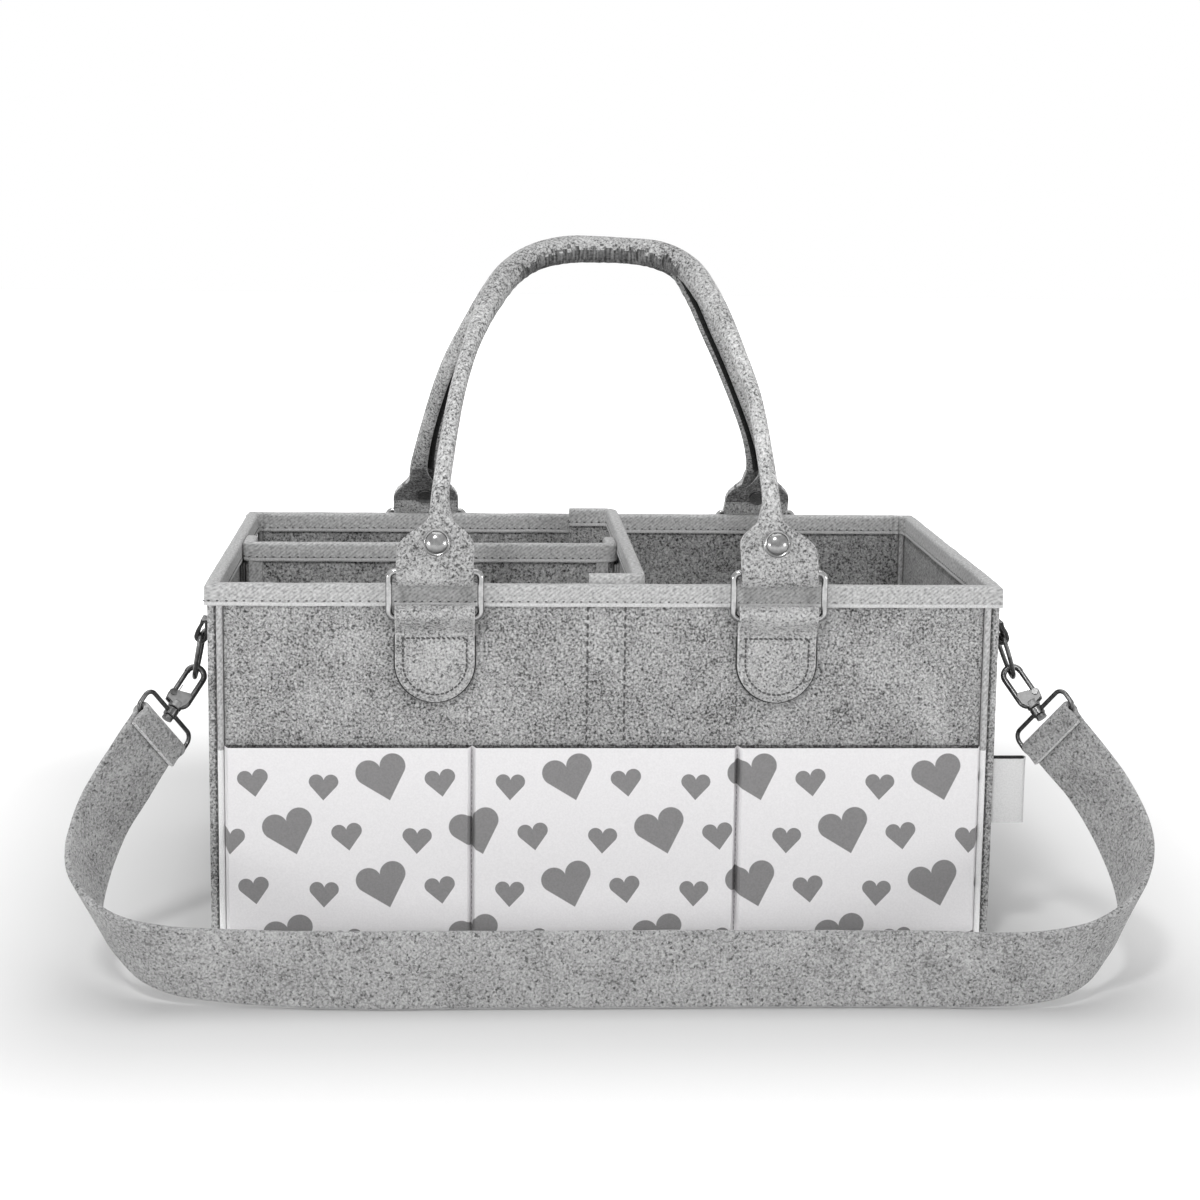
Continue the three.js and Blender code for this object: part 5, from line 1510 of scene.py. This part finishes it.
corner_rows = [upright_row(x, y, 8, 167) for x in (-186.6, 186.6) for y in (-125.1, 125.1)]
sewn("corner_stitches", "shell", corner_rows, 3.4, (0.2, 0.2, 0.4), (0.42, 0.42, 1.5))

# %% Rows on the anchor tabs
TAB_ROW_HALF, TAB_ROW_RISE, TAB_ROW_Y = 15.2, 12.3, TAB_Y - 1.62


def tab_row(wall, end):
    x = local_x(wall, end)
    rises = [TAB_ROW_RISE * i / 4 for i in range(5)]
    turn = [math.radians(180 * i / 18) for i in range(1, 18)]
    top = TAB_ROUND + TAB_ROW_RISE
    line = [(x - TAB_ROW_HALF, top - rise) for rise in rises]
    line += [(x - TAB_ROW_HALF * math.cos(a), TAB_ROUND - TAB_ROW_HALF * math.sin(a)) for a in turn]
    line += [(x + TAB_ROW_HALF, TAB_ROUND + rise) for rise in rises]
    turned, moved = TURNED[wall].to_3x3(), TURNED[wall].translation / MM
    return [turned @ Vector((u, TAB_ROW_Y, z)) + moved for u, z in line]


sewn("tab_stitches", "shell", [(tab_row(wall, end), True) for wall, end in FEET], 2.4,
     (0.2, 0.2, 0.4), (0.5, 0.5, 1.05))

# %% Rows on the dividers
TAPE_ROW = 7.6  # below the top
TAPE_FACE, SUNK_FACE = 3.02, 2.6  # from the felt's middle, and less where the other divider slides
for name, (points, top) in DIVIDERS.items():
    plan = divider_plans[name]
    rows = []
    for side in (-1, 1):
        row = []
        for i, place in enumerate(plan):
            before, after = neighbours(plan, i)
            slides = abs(place.y - 20) < 16 if name == "cross_divider" else place.x > 2
            out = aside_of((after - before).normalized()) * side * (SUNK_FACE if slides else TAPE_FACE)
            row.append(place + out + Vector((0, 0, top - TAPE_ROW)))
        rows.append((row, False))
    sewn(f"{name}_stitches", name, rows)

# %% [markdown]
# ## Floor, backdrop and light
# The caddy stands on a white sweep. A large lamp overhead makes a pale pool of shadow, a small one
# at the upper left gives the felt its soft modelling, and two low ones beside the camera keep the
# front from going dark. The floor adds light of its own, more and more with the distance from the
# caddy, so that the pool fades out into white, and camera, mirror and glass rays see a plain white
# world. The lamps stay at a level where a grey renders as written.

# %% Floor and backdrop
def seen_rays(tree):
    rays = add_node(tree, "ShaderNodeLightPath").outputs
    straight = math_node(tree, "MAXIMUM", rays["Is Camera Ray"], rays["Is Glossy Ray"])
    return math_node(tree, "MAXIMUM", straight, rays["Is Transmission Ray"])


def vector_math(tree, operation, *values):
    return add_node(tree, "ShaderNodeVectorMath", dict(enumerate(values)), operation=operation).outputs


FLOOR_HALF, FLOOR_Z = 6, -0.0006
POOL_HALF = (0.205, 0.215, 1)  # the shadow lies under and close around this box
WHITE_AT = 0.5  # and this far away the floor is plain white
AMBIENT = 0.45
GLOW = ((0, 0.0), (0.04, 0.07), (0.1, 0.13), (0.18, 0.25), (0.27, 0.38), (0.5, 0.65), (1.0, 1.0))
floor_white, tree, shader = new_finish("floor_white", 0.9)
seen = seen_rays(tree)
floor_tone = ramp(tree, seen, ((0, 0.9), (1, 0.6)))
tree.links.new(floor_tone, shader.inputs["Base Color"])
place = add_node(tree, "ShaderNodeTexCoord").outputs["Object"]
aside = vector_math(tree, "ABSOLUTE", place)[0]
past = vector_math(tree, "SUBTRACT", aside, POOL_HALF)[0]
past = vector_math(tree, "MAXIMUM", past, (0, 0, 0))[0]
away = vector_math(tree, "LENGTH", past)["Value"]
glow = ramp(tree, math_node(tree, "DIVIDE", away, WHITE_AT), GLOW)
shader.inputs["Emission Color"].default_value = (1, 1, 1, 1)
tree.links.new(math_node(tree, "MULTIPLY", seen, glow), shader.inputs["Emission Strength"])
floor_corners = [(x * FLOOR_HALF, y * FLOOR_HALF, FLOOR_Z) for x, y in FOUR_CORNERS]
floor = new_object("floor", floor_corners, [(0, 1, 2, 3)], [floor_white])

world = bpy.data.worlds.new("studio")
bpy.context.scene.world = world
world.use_nodes = True
sky = world.node_tree
back = sky.nodes["Background"]
back.inputs["Color"].default_value = (1, 1, 1, 1)
strength = math_node(sky, "MULTIPLY_ADD", seen_rays(sky), 1 - AMBIENT, AMBIENT)
sky.links.new(strength, back.inputs["Strength"])
print("floor and backdrop ready")

# %% Lamps
def lamp(name, place, aim, width, height, watts):
    data = bpy.data.lights.new(name, "AREA")
    data.shape, data.size, data.size_y, data.energy = "ELLIPSE", width, height, watts
    obj = link_new(name, data)
    obj.location = place
    obj.rotation_mode = "QUATERNION"
    obj.rotation_quaternion = (Vector(aim) - Vector(place)).to_track_quat("-Z", "Y")


lamp("overhead", (0, 0.5, 3.0), (0, 0, 0), 3.2, 3.2, 38)
lamp("upper left", (-0.45, -1.7, 1.9), (0, 0, 0.1), 0.35, 0.35, 19)
for side in (-1, 1):
    lamp("beside the camera", (side * 2.0, -1.5, 0.34), (0, -0.15, 0.1), 0.9, 0.4, 13.5)
bpy.context.scene.view_settings.view_transform = "Standard"
print("lamps:", len(bpy.data.lights))
